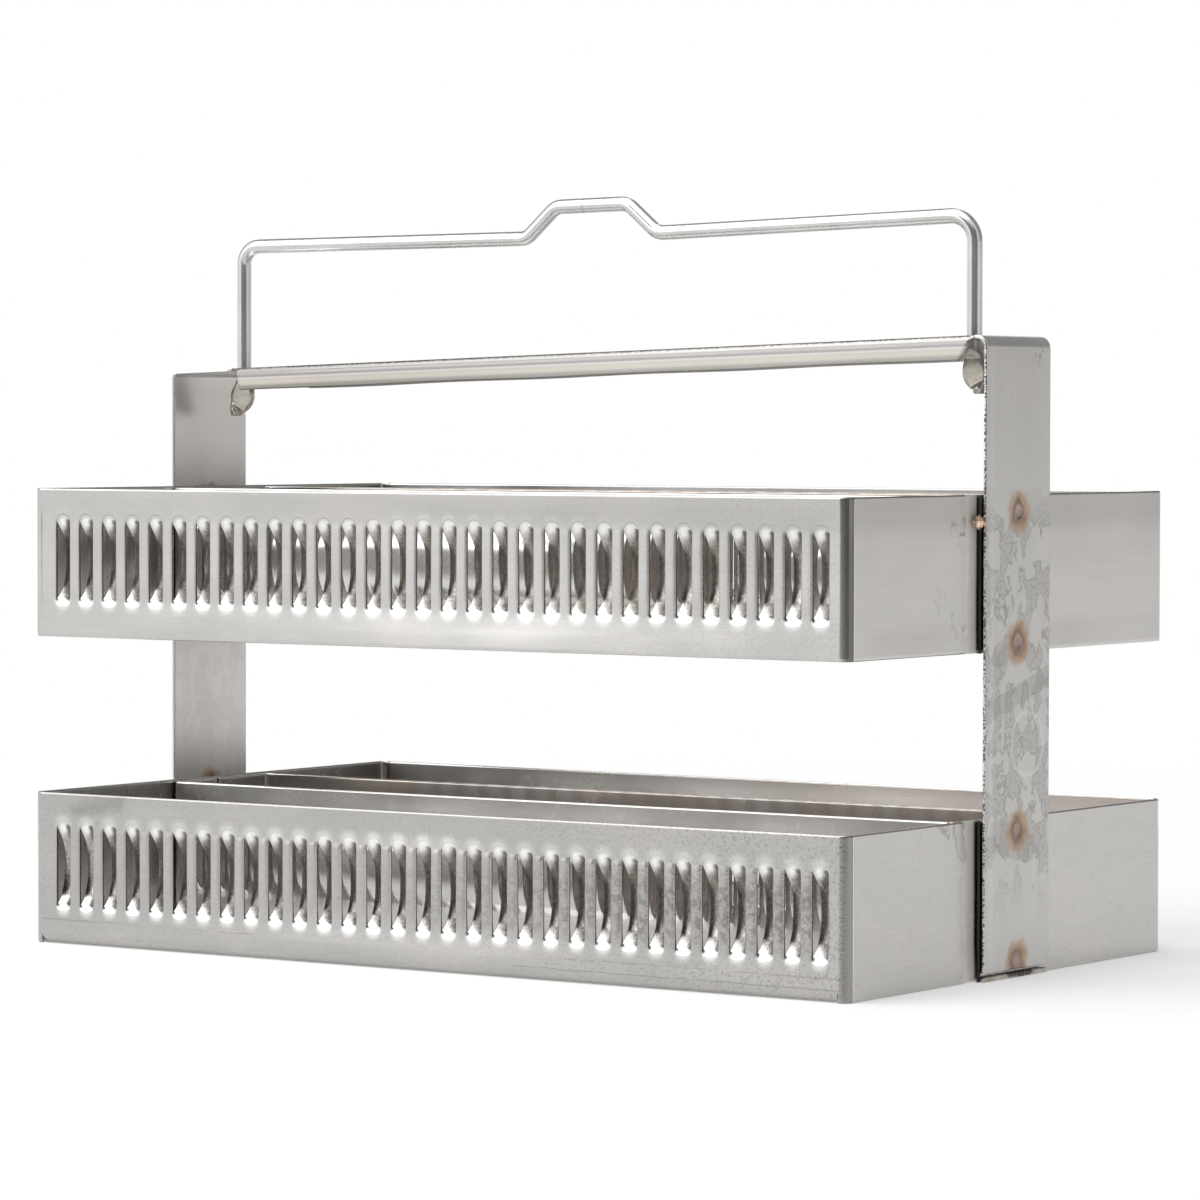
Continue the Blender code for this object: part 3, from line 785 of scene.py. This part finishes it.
class Steel:
    """A bare metal's node tree in millimetres; an input may be a number, a colour or a socket."""

    def __init__(self, name):
        self.material = bpy.data.materials.new(name)
        self.material.use_nodes = True
        self.nodes = self.material.node_tree.nodes
        self.shader = self.nodes["Principled BSDF"]
        self.shader.inputs["Metallic"].default_value = 1.0
        coordinates = self.nodes.new("ShaderNodeTexCoord")
        self.place = self.vector("MULTIPLY", coordinates.outputs["Object"], (1 / MM,) * 3)
        split = self.node("SeparateXYZ", self.place)
        self.x, self.y, self.z = (Value(self, socket) for socket in split.outputs)
        self.colour = None

    def put(self, value, socket):
        if isinstance(value, Value):
            value = value.socket
        if isinstance(value, bpy.types.NodeSocket):
            self.material.node_tree.links.new(value, socket)
        else:
            socket.default_value = value

    def node(self, kind, *values, **settings):
        node = self.nodes.new("ShaderNode" + kind)
        for name, setting in settings.items():
            setattr(node, name, setting)
        for value, socket in zip(values, node.inputs):
            self.put(value, socket)
        return node

    def math(self, kind, *values):
        return Value(self, self.node("Math", *values, operation=kind).outputs[0])

    def vector(self, kind, *values):
        node = self.node("VectorMath", *values, operation=kind)
        if kind in ("LENGTH", "DOT_PRODUCT"):
            return Value(self, node.outputs["Value"])
        return node.outputs["Vector"]

    def noise_node(self, stretch, detail=2.0, place=None):
        """Noise with this many features a millimetre, one number for all or for x, y and z each."""
        stretch = stretch if isinstance(stretch, tuple) else (stretch,) * 3
        node = self.node("TexNoise", self.vector("MULTIPLY", place or self.place, stretch))
        node.inputs["Scale"].default_value = 1.0
        node.inputs["Detail"].default_value = detail
        return node

    def noise(self, stretch, detail=2.0, place=None):
        """A value about 0.5."""
        return Value(self, self.noise_node(stretch, detail, place).outputs["Fac"])

    def spread(self, amount, scale):
        """The place, pushed about by noise, for edges that wander."""
        shift = self.vector("SUBTRACT", self.noise_node(scale).outputs["Color"], (0.5,) * 3)
        return self.vector("ADD", self.place, self.vector("MULTIPLY", shift, (amount,) * 3))

    def away(self, centre, place=None):
        return self.vector("LENGTH", self.vector("SUBTRACT", place or self.place, centre))

    def disc(self, centre, radius, soft, place=None):
        return self.away(centre, place).fall(radius, radius + soft)

    def streak(self, a, b, half, soft, place=None):
        """A line's mask between two places (x, y, z), soft at its sides."""
        a = Vector(a)
        way = Vector(b) - a
        from_a = self.vector("SUBTRACT", place or self.place, tuple(a))
        share = self.vector("DOT_PRODUCT", from_a, tuple(way)) / way.length_squared
        along = self.vector("SCALE", tuple(way))
        self.put(share.most(0.0).least(1.0), along.node.inputs["Scale"])
        return self.away(along, from_a).fall(half, half + soft)

    def mix(self, share, a, b):
        node = self.node("Mix", data_type="RGBA")
        for value, index in ((share, 0), (a, 6), (b, 7)):
            self.put(value, node.inputs[index])
        return node.outputs[2]

    def paint(self, share, tone):
        """Lays a tone over the colour so far."""
        self.colour = self.mix(share, self.colour, tone)

    def finish(self, roughness, bumps):
        """bumps holds (height, depth in metres) pairs."""
        self.put(self.colour, self.shader.inputs["Base Color"])
        self.put(roughness, self.shader.inputs["Roughness"])
        normal = None
        for height, depth in bumps:
            node = self.node("Bump")
            node.inputs["Strength"].default_value = 1.0
            node.inputs["Distance"].default_value = depth
            self.put(height, node.inputs["Height"])
            if normal is not None:
                self.put(normal, node.inputs["Normal"])
            normal = node.outputs["Normal"]
        self.put(normal, self.shader.inputs["Normal"])
        return self.material


def shade(value, warm=0.028):
    """A nearly neutral grey, a trace warmer in red than in blue."""
    return (value * (1 + warm), value, value * (1 - 1.4 * warm), 1.0)


# the pale tone of painted highlights
HIGHLIGHT_PALE = shade(0.9, 0.012)


def sheet_steel(name, level, coarse, row, marks):
    """Cold-rolled sheet: streaks along the run, pebbled skin, faint clouds and handling marks, with
    painted light and shade round the strips, on the right front fold and at the seam.

    level is its grey, coarse the pebble's strength, row the heights between which strips are drawn.
    """
    low, high = row
    middle = (low + high) / 2
    half = (high - low) / 2
    steel = Steel(name)
    x, y, z = steel.x, steel.y, steel.z
    grain = steel.noise((0.12, 0.12, 5.5), 3.0)
    pebble = steel.noise(3.0, 3.0)
    cloud = steel.noise((0.05, 0.05, 0.11), 3.0)
    soil = steel.noise(0.5, 4.0)
    steel.colour = steel.mix(cloud.ramp(0.3, 0.7), shade(level * 0.955, 0.02), shade(level * 1.03))
    steel.paint(grain.ramp(0.38, 0.62, 0.0, 0.10), shade(level * 0.72))

    # the right end of the front is the rougher one
    front = y.fall(-35.0, -34.6) * x.fall(61.2, 61.4)
    right = x.ramp(-10.0, 62.0, 0.35, 1.0) * (front * 0.8 + 0.2)
    steel.paint(front * (0.09 * coarse), shade(0.10))
    steel.paint(pebble.ramp(0.50, 0.68) * (right * (coarse * 0.24)), shade(level * 0.45, 0.03))
    steel.paint(soil.ramp(0.56, 0.72) * (right * (coarse * 0.06)), shade(level * 0.55, 0.04))

    # behind the outer face, and across from the nearest strip's middle line
    behind = WIDTH / 2 - abs(y)
    run = x - STRIP_SHIFT
    across = abs(run - steel.math("ROUND", run / STRIP_PITCH) * STRIP_PITCH)
    steel.across = across
    rows = abs(x).fall(*ROW_END) * z.band(middle, half, 1.5)

    # painted highlights: pale halos where the bowls run out, and the bowls themselves, partly a
    # real burnish; painted shade: the recessed strips browner and speckled
    def painted_glow(height, reach, strength):
        return across.hypot((z - height) * 0.8).ramp(0.35, reach, strength, 0.0)

    bowl_highlight = painted_glow(low + 0.2, 1.45, 0.65).most(painted_glow(high - 0.7, 1.8, 0.42 if coarse > 1 else 0.06))
    steel.paint(bowl_highlight * (rows * behind.fall(0.5, 1.0)), HIGHLIGHT_PALE)
    # painted highlight on the bowls, partly a real burnish from drawing
    burnish_and_highlight = behind.ramp(0.2, 0.5) * behind.fall(0.8, 1.3) * across.ramp(0.45, 1.05, 1.0, 0.25)
    steel.paint(burnish_and_highlight * rows * 0.9, HIGHLIGHT_PALE)
    # painted shade in the recess, brown and speckled, partly the strips' own drawn texture
    recess_shade_and_speckle = steel.mix(steel.noise(2.6, 4.0).ramp(0.42, 0.6),
                        (0.50, 0.445, 0.39, 1.0), (0.28, 0.24, 0.205, 1.0))
    near = behind.fall(3.0, 3.2)
    steel.paint(behind.ramp(0.75, 1.5) * near * rows * 0.6, recess_shade_and_speckle)

    # painted shade: a dark arc over each upper bowl, and black on the strips' sheared sides where
    # the slits lie in shade
    rise = z - (high - 1.05)
    arc = across.hypot(rise).band(1.09, 0.03, 0.07) * rise.ramp(-0.1, 0.1)
    arc = arc * (rows * behind.fall(0.4, 0.5))
    steel.paint(arc * (0.42 if coarse < 1 else 0.2), shade(0.2, 0.02))
    # painted shadow: black along the strips' sheared sides
    painted_cut_edge = across.band(STRIP_WIDTH / 2, 0.035, 0.05) * rows
    painted_cut_edge = painted_cut_edge * z.band(middle - 0.1, half - 0.95, 0.25) * near
    steel.paint(painted_cut_edge * 0.88, (0.05, 0.042, 0.036, 1.0))

    # the right front fold: a painted dark reflection on the bend, with a painted highlight line
    # where it runs out
    turned = x + (CORNER_R + SHEET + LAYER_GAP - LENGTH / 2)
    ahead = CORNER_R - WIDTH / 2 - y
    share = turned / (turned.most(0.0) + ahead.most(0.001))
    fold = share.ramp(0.0, 0.55) * share.fall(0.90, 0.95)
    steel.paint(fold * (0.86 if coarse < 1 else 0.55), shade(0.10, 0.02))
    steel.paint(share.band(0.975, 0.02, 0.01) * ahead.ramp(-0.02, 0.0) * 0.8, shade(0.95, 0.01))

    # the seam beside the right leg: a painted black shadow in the groove, and in front of it a
    # painted pale zone, less metallic, that lightens the wall's reflection of the groove
    edge = STRAP_Y - STRAP_WIDTH / 2
    end = x.ramp(LENGTH / 2 - 1.3, LENGTH / 2 - 1.2)
    lapped = x.ramp(LENGTH / 2 - 0.55, LENGTH / 2 - 0.5)
    zone = y.band(edge - 1.2, 1.0, 0.7) * end * (1.0 - lapped)
    steel.put(1.0 - zone * 0.85, steel.shader.inputs["Metallic"])
    steel.paint(zone, (0.78, 0.75, 0.72, 1.0))
    steel.paint(y.band(edge, 0.2, 0.05) * lapped * 0.95, (0.02, 0.018, 0.016, 1.0))

    marks(steel)
    roughness = cloud.ramp(0.3, 0.7, 0.225, 0.28) + soil.ramp(0.5, 0.75, 0.0, 0.03)
    return steel.finish(roughness, [(grain, 1.2e-6), (pebble * right, 1.1e-5 * coarse)])


def upper_marks(steel):
    """Clusters of dark flecks and scratches on the end wall in front of the seam."""
    wander = steel.spread(1.6, 0.5)
    first = steel.streak((TUCKED_X, -13.4, 54.6), (TUCKED_X, -11.6, 53.4), 0.2, 1.3, wander)
    second = steel.streak((TUCKED_X, -16.8, 46.5), (TUCKED_X, -10.0, 41.2), 0.1, 2.2, wander)
    flecks = steel.noise((1.1, 1.1, 0.8), 6.0).ramp(0.53, 0.62)
    steel.paint((first * 0.7 + second * 0.24) * flecks, shade(0.12, 0.05))
    # the band above the strips grows darker to the right
    top = steel.z.ramp(UPPER_BASE + 13.5, UPPER_BASE + 16.5)
    steel.paint(top * steel.x.ramp(-60.0, 50.0, 0.0, 0.26), shade(0.26, 0.02))


def lower_marks(steel):
    """Score lines and flats darkened at mid-height on the front, a smudge at its upper left, film
    by the seam, painted light on the back wall's inner side.
    """
    x, y, z = steel.x, steel.y, steel.z
    face = -WIDTH / 2
    wander = steel.spread(0.35, 0.4)
    foot = steel.streak((-61.0, face, 3.2), (61.0, face, 2.8), 0.03, 0.10, wander)
    fold = steel.streak((14.0, face, 1.6), (61.0, face, 1.45), 0.03, 0.10, wander)
    steel.paint(foot.most(fold) * 0.5, shade(0.22, 0.03))
    # the flats darker at mid-height, more so to the right, in noisy patches
    flats = steel.across.ramp(1.15, 1.35) * z.band(9.6, 2.2, 3.2) * x.ramp(-25.0, 45.0)
    flats = flats * (y.fall(-36.9, -36.7) * x.fall(*ROW_END))
    noisy_darkening = steel.noise(1.3, 5.0).ramp(0.40, 0.62, 0.15, 0.75)
    steel.paint(flats * noisy_darkening, shade(0.20, 0.02))
    blot = steel.streak((-55.2, face, 17.3), (-47.8, face, 18.9), 0.15, 1.5, steel.spread(2.2, 0.6))
    steel.paint(blot * 0.5, shade(0.24, 0.03))
    steel.paint(z.ramp(16.4, 18.6) * x.ramp(-60.0, -25.0, 0.2, 0.0), shade(0.4, 0.02))
    # painted light: the back wall's inner side is painted brighter and warmer to the right
    inside = y.band(36.7, 0.4, 0.05) * z.ramp(15.8, 16.6) * x.ramp(-45.0, 50.0, 0.0, 0.75)
    steel.paint(inside, (1.0, 0.95, 0.91, 1.0))
    ragged = steel.spread(2.6, 0.5)
    film = steel.streak((TUCKED_X, -12.2, 18.8), (TUCKED_X, -11.4, 15.9), 0.5, 0.9, ragged)
    second = steel.streak((TUCKED_X, -16.5, 19.4), (TUCKED_X, -14.5, 18.2), 0.2, 0.8, ragged)
    film = film.most(second)
    steel.paint(film * 0.22, shade(0.38, 0.02))
    steel.paint(film.band(0.5, 0.12, 0.25) * 0.5, shade(0.26, 0.03))


def inner_marks(steel):
    """Painted shade in soft brown bands above the strips of the rear divider, and a straw tint at
    its left end.
    """
    rear = steel.y.ramp(9.0, 9.3)
    # painted shade: darker brown bands between the strips, standing in for the strips' shadows
    louvre_shade_bands = rear * steel.x.ramp(-48.0, -30.0) * steel.across.ramp(0.5, 1.6, 0.0, 0.45)
    steel.paint(louvre_shade_bands, (0.42, 0.34, 0.29, 1.0))
    patchy = steel.noise((0.07, 0.07, 0.2), 3.0).ramp(0.4, 0.6, 0.1, 0.5)
    steel.paint(patchy * rear, (0.66, 0.55, 0.47, 1.0))


def strap_steel():
    """The strap: film on its legs, heat tints round the spot welds, painted light and shade on the
    bar and the left leg.
    """
    level = 0.54
    steel = Steel("steel_strap")
    x, y, z = steel.x, steel.y, steel.z
    grain = steel.noise((0.12, 5.0, 0.10), 3.0)
    pebble = steel.noise(2.5, 3.0)
    cloud = steel.noise((0.06, 0.16, 0.06), 3.0)
    wander = steel.spread(0.9, 0.55)
    steel.colour = steel.mix(cloud.ramp(0.3, 0.7), shade(level * 0.96, 0.02),
                             shade(level * 1.04, 0.02))
    steel.paint(grain.ramp(0.36, 0.64, 0.0, 0.10), shade(level * 0.7, 0.03))
    leg = abs(x).ramp(STRAP_X - 0.6, STRAP_X - 0.5)
    right = x.ramp(STRAP_X - 0.6, STRAP_X - 0.5)
    on_bar = 1.0 - leg
    lipped = x.ramp(LIP_INSET_LEFT - STRAP_X - 0.3, LIP_INSET_LEFT - STRAP_X + 0.1)
    front = STRAP_Y - STRAP_WIDTH / 2 + LIP_R
    # painted shade: the bar's front lip darker towards the left
    tone = on_bar * x.ramp(-60.0, 30.0, 0.86, 0.48) * y.fall(front - 0.2, front + 0.4)
    steel.paint(tone * lipped, shade(0.22, 0.05))
    # painted light: the bar's left end, where it has no lip, lightened against the dark it reflects
    steel.paint((1.0 - lipped) * z.ramp(70.0, 72.0) * on_bar, shade(0.92, 0.01))
    # painted light: the left leg lightened
    steel.paint(x.fall(0.5 - STRAP_X, 0.6 - STRAP_X) * 0.5, shade(0.70, 0.03))

    # dried film in ragged patches with a dark edge, between the tiers most of all
    zone = z.ramp(6.0, 16.0) * z.fall(55.0, 61.0) * (right * 0.8 + 0.2) * leg
    islands = steel.noise((0.0, 0.30, 0.20), 9.0, steel.spread(1.6, 0.25))
    patch = islands.ramp(0.500, 0.515) * zone
    crumbs = steel.noise(2.2, 7.0).ramp(0.47, 0.60) * patch
    steel.paint(patch * 0.34, shade(0.40, 0.03))
    steel.paint(crumbs * 0.40, shade(0.26, 0.01))
    steel.paint(islands.band(0.507, 0.004, 0.012) * zone * 0.55, shade(0.24, 0.03))

    # marks seen on the right leg
    dull, lower_patch, under_spot = (
        steel.streak((STRAP_X, *a), (STRAP_X, *b), half, soft, wander) for a, b, half, soft in (
            ((-8.4, 32.4), (7.0, 36.6), 0.9, 0.5),
            ((-5.5, 17.6), (1.6, 15.8), 1.9, 0.35),
            ((-5.6, 39.4), (-1.8, 40.6), 1.3, 0.3)))
    film = dull.most(lower_patch).most(under_spot) * right
    steel.paint(film * 0.42, shade(0.38, 0.03))
    rim = dull.ramp(0.0, 1.0).band(0.5, 0.1, 0.3)
    steel.paint(rim * right * 0.3, shade(0.25, 0.03))
    loop = steel.away((STRAP_X, 1.6, 28.4), wander).band(3.9, 0.06, 0.4)
    steel.paint(loop * right * 0.4, shade(0.68, 0.02))
    smooth = steel.disc((STRAP_X, 5.8, 52.4), 1.5, 0.5, wander)
    speck = steel.disc((STRAP_X, -5.4, 28.5), 0.25, 0.2)
    steel.paint(smooth.most(speck) * right * 0.4, shade(0.62, 0.02))
    steel.paint(y.band(-7.0, 0.35, 0.4) * leg * 0.35, shade(0.62, 0.02))
    brown = steel.disc((STRAP_X, 3.6, 76.2), 0.8, 1.6, steel.spread(3.0, 0.8))
    steel.paint(brown * steel.noise(1.4, 5.0).ramp(0.48, 0.6, 0.0, 0.5), (0.25, 0.19, 0.15, 1.0))
    across = y - STRAP_Y
    # painted glints and dark specks along the right leg's cut edges
    painted_cut_edge = abs(across).ramp(STRAP_WIDTH / 2 - 0.08, STRAP_WIDTH / 2 - 0.03) * right
    glint = steel.noise((3.6, 3.6, 3.8), 3.0).ramp(0.44, 0.54)
    steel.paint(painted_cut_edge * 0.9, steel.mix(glint, shade(0.10), shade(0.95)))

    # spot welds: dull core, dark ring, brown halo
    rise = functools.reduce(Value.least, [abs(z - height) for height in SPOT_HEIGHTS])
    radius = across.hypot(rise) + (steel.noise(0.7, 4.0) - 0.5) * 2.2
    tint = steel.node("ValToRGB", radius / 3.4)
    stops = [(0.0, (0.37, 0.29, 0.255)), (0.26, (0.34, 0.265, 0.23)), (0.34, (0.24, 0.17, 0.14)),
             (0.42, (0.28, 0.195, 0.145)), (0.54, (0.40, 0.285, 0.205)),
             (0.76, (0.47, 0.385, 0.31)), (1.0, (0.53, 0.52, 0.51))]
    elements = tint.color_ramp.elements
    while len(elements) < len(stops):
        elements.new(0.5)
    for element, (position, value) in zip(elements, stops):
        element.position = position
        element.color = (*value, 1.0)
    steel.paint(radius.fall(2.2, 3.3) * leg, tint.outputs[0])

    # painted light and shade in lines along the bar's front fold, by their depth under its top: a
    # dark band under the fold, a dark lower edge, glints on the crest, pale highlight lines on the
    # lip
    depth = x * BAR_SLOPE + (BAR_LEFT + BAR_SLOPE * STRAP_X) - z
    steel.paint(depth.band(0.95, 0.2, 0.4) * on_bar * 0.6, (0.25, 0.235, 0.235, 1.0))
    steel.paint(depth.band(LIP_DEPTH, 0.15, 0.6) * on_bar * 0.28, (0.26, 0.22, 0.19, 1.0))
    painted_crest_glint = depth.band(0.14, 0.1, 0.12) * on_bar
    painted_crest_glint = painted_crest_glint * across.fall(1.0 - STRAP_WIDTH / 2, 1.1 - STRAP_WIDTH / 2) * lipped
    glint_tones = steel.mix(steel.noise(2.2, 4.0).ramp(0.45, 0.56), shade(0.2), shade(0.85))
    steel.paint(painted_crest_glint * 0.35, glint_tones)
    steel.paint(depth.band(1.45, 0.08, 0.12) * on_bar * 0.35, HIGHLIGHT_PALE)
    # painted light on the right bend, against the dark it reflects
    steel.paint(z.ramp(76.3, 77.5) * x.ramp(60.6, 61.6) * 0.7, shade(0.95, 0.01))
    steel.paint(depth.band(1.95, 0.15, 0.45) * on_bar * 0.5, (0.74, 0.67, 0.59, 1.0))

    roughness = cloud.ramp(0.3, 0.7, 0.29, 0.35) + patch * 0.05 + film * 0.08
    return steel.finish(roughness, [(grain, 1.4e-6), (pebble, 6.0e-6)])


def wire_steel():
    """Drawn wire: brighter and smoother, dull where it was pinched, a rubbed ring on the hump."""
    steel = Steel("steel_wire")
    steel.shader.inputs["Metallic"].default_value = 0.72
    skin = steel.noise(1.6, 3.0)
    cloud = steel.noise(0.2)
    steel.colour = steel.mix(cloud.ramp(0.3, 0.7), shade(0.60, 0.01), shade(0.66, 0.01))
    tan = steel.mix(skin.ramp(0.4, 0.6), (0.47, 0.43, 0.38, 1.0), (0.56, 0.52, 0.47, 1.0))
    left = steel.x.fall(-40.0, -30.0)
    steel.paint(steel.mix(left, steel.z.fall(76.6, 77.4), steel.z.fall(72.9, 73.5)), tan)
    steel.paint(steel.x.band(-0.9, 0.12, 0.12) * 0.45, shade(0.34, 0.03))
    return steel.finish(skin.ramp(0.3, 0.7, 0.19, 0.22), [(skin, 1.2e-6)])


def burr_steel():
    steel = Steel("steel_burr")
    fine = steel.noise(3.0, 3.0)
    steel.colour = steel.mix(fine.ramp(0.35, 0.65),
                             (0.50, 0.33, 0.20, 1.0), (0.86, 0.68, 0.50, 1.0))
    return steel.finish(0.28, [(fine, 1.5e-5)])


def bead_steel(name):
    """Fused metal, straw to blue-grey from the heat, with soot where the electrode left it."""
    steel = Steel(name)
    blotch = steel.noise(0.45, 3.0)
    fine = steel.noise(2.2, 3.0)
    steel.colour = steel.mix(blotch.ramp(0.36, 0.64),
                             (0.42, 0.36, 0.29, 1.0), (0.56, 0.55, 0.54, 1.0))
    wander = steel.spread(1.6, 0.9)
    soot = steel.streak((STRAP_X, -2.4, 0.9), (STRAP_X, 2.6, 0.5), 0.35, 0.6, wander)
    steel.paint(soot * 0.9, shade(0.035, 0.03))
    return steel.finish(fine.ramp(0.3, 0.7, 0.30, 0.46), [(fine, 2.0e-5)])


# ---------------------------------------------------------------- camera, stage and light

def camera():
    """The photograph's view, fitted to the rack's corners."""
    turn = math.radians(34.65)
    dip = math.radians(1.985)
    roll = math.radians(0.089)
    ahead = Vector((-math.sin(turn) * math.cos(dip), math.cos(turn) * math.cos(dip),
                    -math.sin(dip)))
    right = Vector((math.cos(turn), math.sin(turn), 0.0))
    up = right.cross(ahead)
    x = math.cos(roll) * right + math.sin(roll) * up
    y = -math.sin(roll) * right + math.cos(roll) * up
    place = Matrix((x, y, -ahead)).transposed().to_4x4()
    place.translation = Vector((377.9, -545.5, 67.7)) * MM
    data = bpy.data.cameras.new("view")
    data.sensor_width = 36.0
    data.sensor_fit = "HORIZONTAL"
    data.lens = FOCAL_PIXELS / PHOTO_PIXELS * data.sensor_width
    data.clip_start = 0.01
    data.clip_end = 20.0
    obj = add_object("view", data)
    obj.matrix_world = place
    bpy.context.scene.camera = obj


def lamp(name, place, size, power):
    """A soft rectangular lamp that looks at the rack's middle."""
    data = bpy.data.lights.new(name, "AREA")
    data.shape = "RECTANGLE"
    data.size, data.size_y = size
    data.energy = power
    obj = add_object(name, data)
    obj.location = place
    obj.rotation_euler = (Vector((0, 0, 0.05)) - Vector(place)).to_track_quat("-Z", "Y").to_euler()


def stage_piece(name, points, faces, inputs):
    """A stage object whose shader has these inputs; gives the object and its material's tree."""
    material = bpy.data.materials.new(name)
    material.use_nodes = True
    shader = material.node_tree.nodes["Principled BSDF"]
    for socket, value in inputs.items():
        shader.inputs[socket].default_value = value
    mesh = bpy.data.meshes.new(name)
    mesh.from_pydata(points, [], faces)
    mesh.materials.append(material)
    return add_object(name, mesh), material.node_tree


def card(name, low_turn, high_turn, rise, reach, strength):
    """A curved studio card that only the metal sees; its turns run from the front wall's way."""
    count = 24
    points = []
    for k in range(count + 1):
        turn = math.radians(low_turn + (high_turn - low_turn) * k / count)
        points += [(reach * math.sin(turn), -reach * math.cos(turn), z) for z in rise]
    faces = [[2 * k, 2 * k + 2, 2 * k + 3, 2 * k + 1] for k in range(count)]
    obj, _ = stage_piece(name, points, faces, {
        "Base Color": (0, 0, 0, 1), "Specular IOR Level": 0.0,
        "Emission Color": (1, 0.985, 0.965, 1), "Emission Strength": strength})
    obj.visible_camera = False
    obj.visible_shadow = False
    obj.visible_diffuse = False


def surround():
    """White for what the camera, reflections and clear rays see, dimmer as a light."""
    world = bpy.data.worlds.new("surround")
    bpy.context.scene.world = world
    world.use_nodes = True
    nodes = world.node_tree.nodes
    link = world.node_tree.links.new
    nodes.clear()
    path = nodes.new("ShaderNodeLightPath").outputs
    mix = nodes.new("ShaderNodeMixShader")
    for strength, socket in ((0.3, mix.inputs[1]), (1.0, mix.inputs[2])):
        background = nodes.new("ShaderNodeBackground")
        background.inputs["Color"].default_value = (1, 1, 1, 1)
        background.inputs["Strength"].default_value = strength
        link(background.outputs[0], socket)
    seen = path["Is Camera Ray"]
    for ray in ("Is Glossy Ray", "Is Transmission Ray"):
        node = nodes.new("ShaderNodeMath")
        node.operation = "MAXIMUM"
        link(seen, node.inputs[0])
        link(path[ray], node.inputs[1])
        seen = node.outputs[0]
    link(seen, mix.inputs[0])
    link(mix.outputs[0], nodes.new("ShaderNodeOutputWorld").inputs["Surface"])


def stage():
    """A pale floor that keeps the shadow, studio cards and two soft lamps."""
    surround()
    corners = [(-4, -4, 0), (4, -4, 0), (4, 4, 0), (-4, 4, 0)]
    floor, tree = stage_piece("floor", corners, [(0, 1, 2, 3)], {
        "Base Color": (0.8, 0.8, 0.8, 1), "Roughness": 0.9, "Specular IOR Level": 0.1,
        "Emission Color": (1, 1, 1, 1), "Emission Strength": 0.34})
    # far from the rack the floor runs out into plain white, so there is no horizon
    nodes = tree.nodes
    away = nodes.new("ShaderNodeVectorMath")
    away.operation = "LENGTH"
    fade = nodes.new("ShaderNodeMapRange")
    fade.interpolation_type = "SMOOTHSTEP"
    fade.inputs["From Min"].default_value = 0.14
    fade.inputs["From Max"].default_value = 0.40
    blend = nodes.new("ShaderNodeMixShader")
    for source, target in (
            (nodes.new("ShaderNodeTexCoord").outputs["Object"], away.inputs[0]),
            (away.outputs["Value"], fade.inputs["Value"]),
            (fade.outputs[0], blend.inputs[0]),
            (nodes["Principled BSDF"].outputs[0], blend.inputs[1]),
            (nodes.new("ShaderNodeEmission").outputs[0], blend.inputs[2]),
            (blend.outputs[0], nodes["Material Output"].inputs["Surface"])):
        tree.links.new(source, target)

    card("dark_card", -15, 74, (0.0, 0.85), 1.0, 0.01)
    card("grey_card", 112, 178, (0.0, 0.2), 1.1, 0.76)
    card("high_card", 100, 200, (0.2, 2.8), 1.1, 0.25)
    card("rear_card", 208, 262, (0.2, 1.6), 1.1, 0.15)
    lamp("key", (-0.95, -1.13, 0.52), (1.1, 0.55), 3.8)
    lamp("top", (-0.35, -0.45, 1.4), (1.7, 1.7), 18.0)


# ---------------------------------------------------------------- build

def twisted(run):
    """The last strips at the right end of the lower tier stand askew."""
    return float(-0.35 * step(run, 105.0, 118.0))


def build():
    # the lower tier's steel is a darker grey than the upper's, painted shade for the floor's shadow
    # it reflects
    upper = sheet_steel("steel_upper", 0.575, 0.6, UPPER_ROW, upper_marks)
    lower = sheet_steel("steel_lower", 0.54, 2.2, LOWER_ROW, lower_marks)
    inner = sheet_steel("steel_inner", 0.64, 1.0, LOWER_INNER_ROW, inner_marks)
    for piece, node, body, slot in (
            (outer_ring("lower_outer", lower, 0.0, LOWER_HEIGHT, LOWER_ROW, True, 11,
                        crown=0.11, twist=twisted),
             "lower_outer_frame", "rack", "outer_sheet"),
            (inner_ring("lower_inner", inner, 0.0, LOWER_HEIGHT, LOWER_INNER_ROW, True, 12),
             "lower_inner_frame", "rack", "inner_sheet"),
            (outer_ring("upper_outer", upper, UPPER_BASE, UPPER_HEIGHT, UPPER_ROW, False, 13),
             "upper_outer_frame", "rack", "outer_sheet"),
            (inner_ring("upper_inner", inner, UPPER_BASE, UPPER_HEIGHT, UPPER_INNER_ROW, False, 14),
             "upper_inner_frame", "rack", "inner_sheet"),
            (yoke(strap_steel()), "yoke_strap", "rack", "strap_sheet"),
            (bail(wire_steel()), "handle", "handle", "drawn_wire"),
            (edge_bead("bead_right", 1, 21, bead_steel("steel_bead_right")),
             "edge_weld_right", "rack", "weld_bead"),
            (edge_bead("bead_left", -1, 22, bead_steel("steel_bead_left")),
             "edge_weld_left", "rack", "weld_bead")):
        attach(piece, body)
        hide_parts(node)
    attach(burr(burr_steel()), "rack")


camera()
build()
stage()
bpy.context.scene.view_settings.view_transform = "Standard"
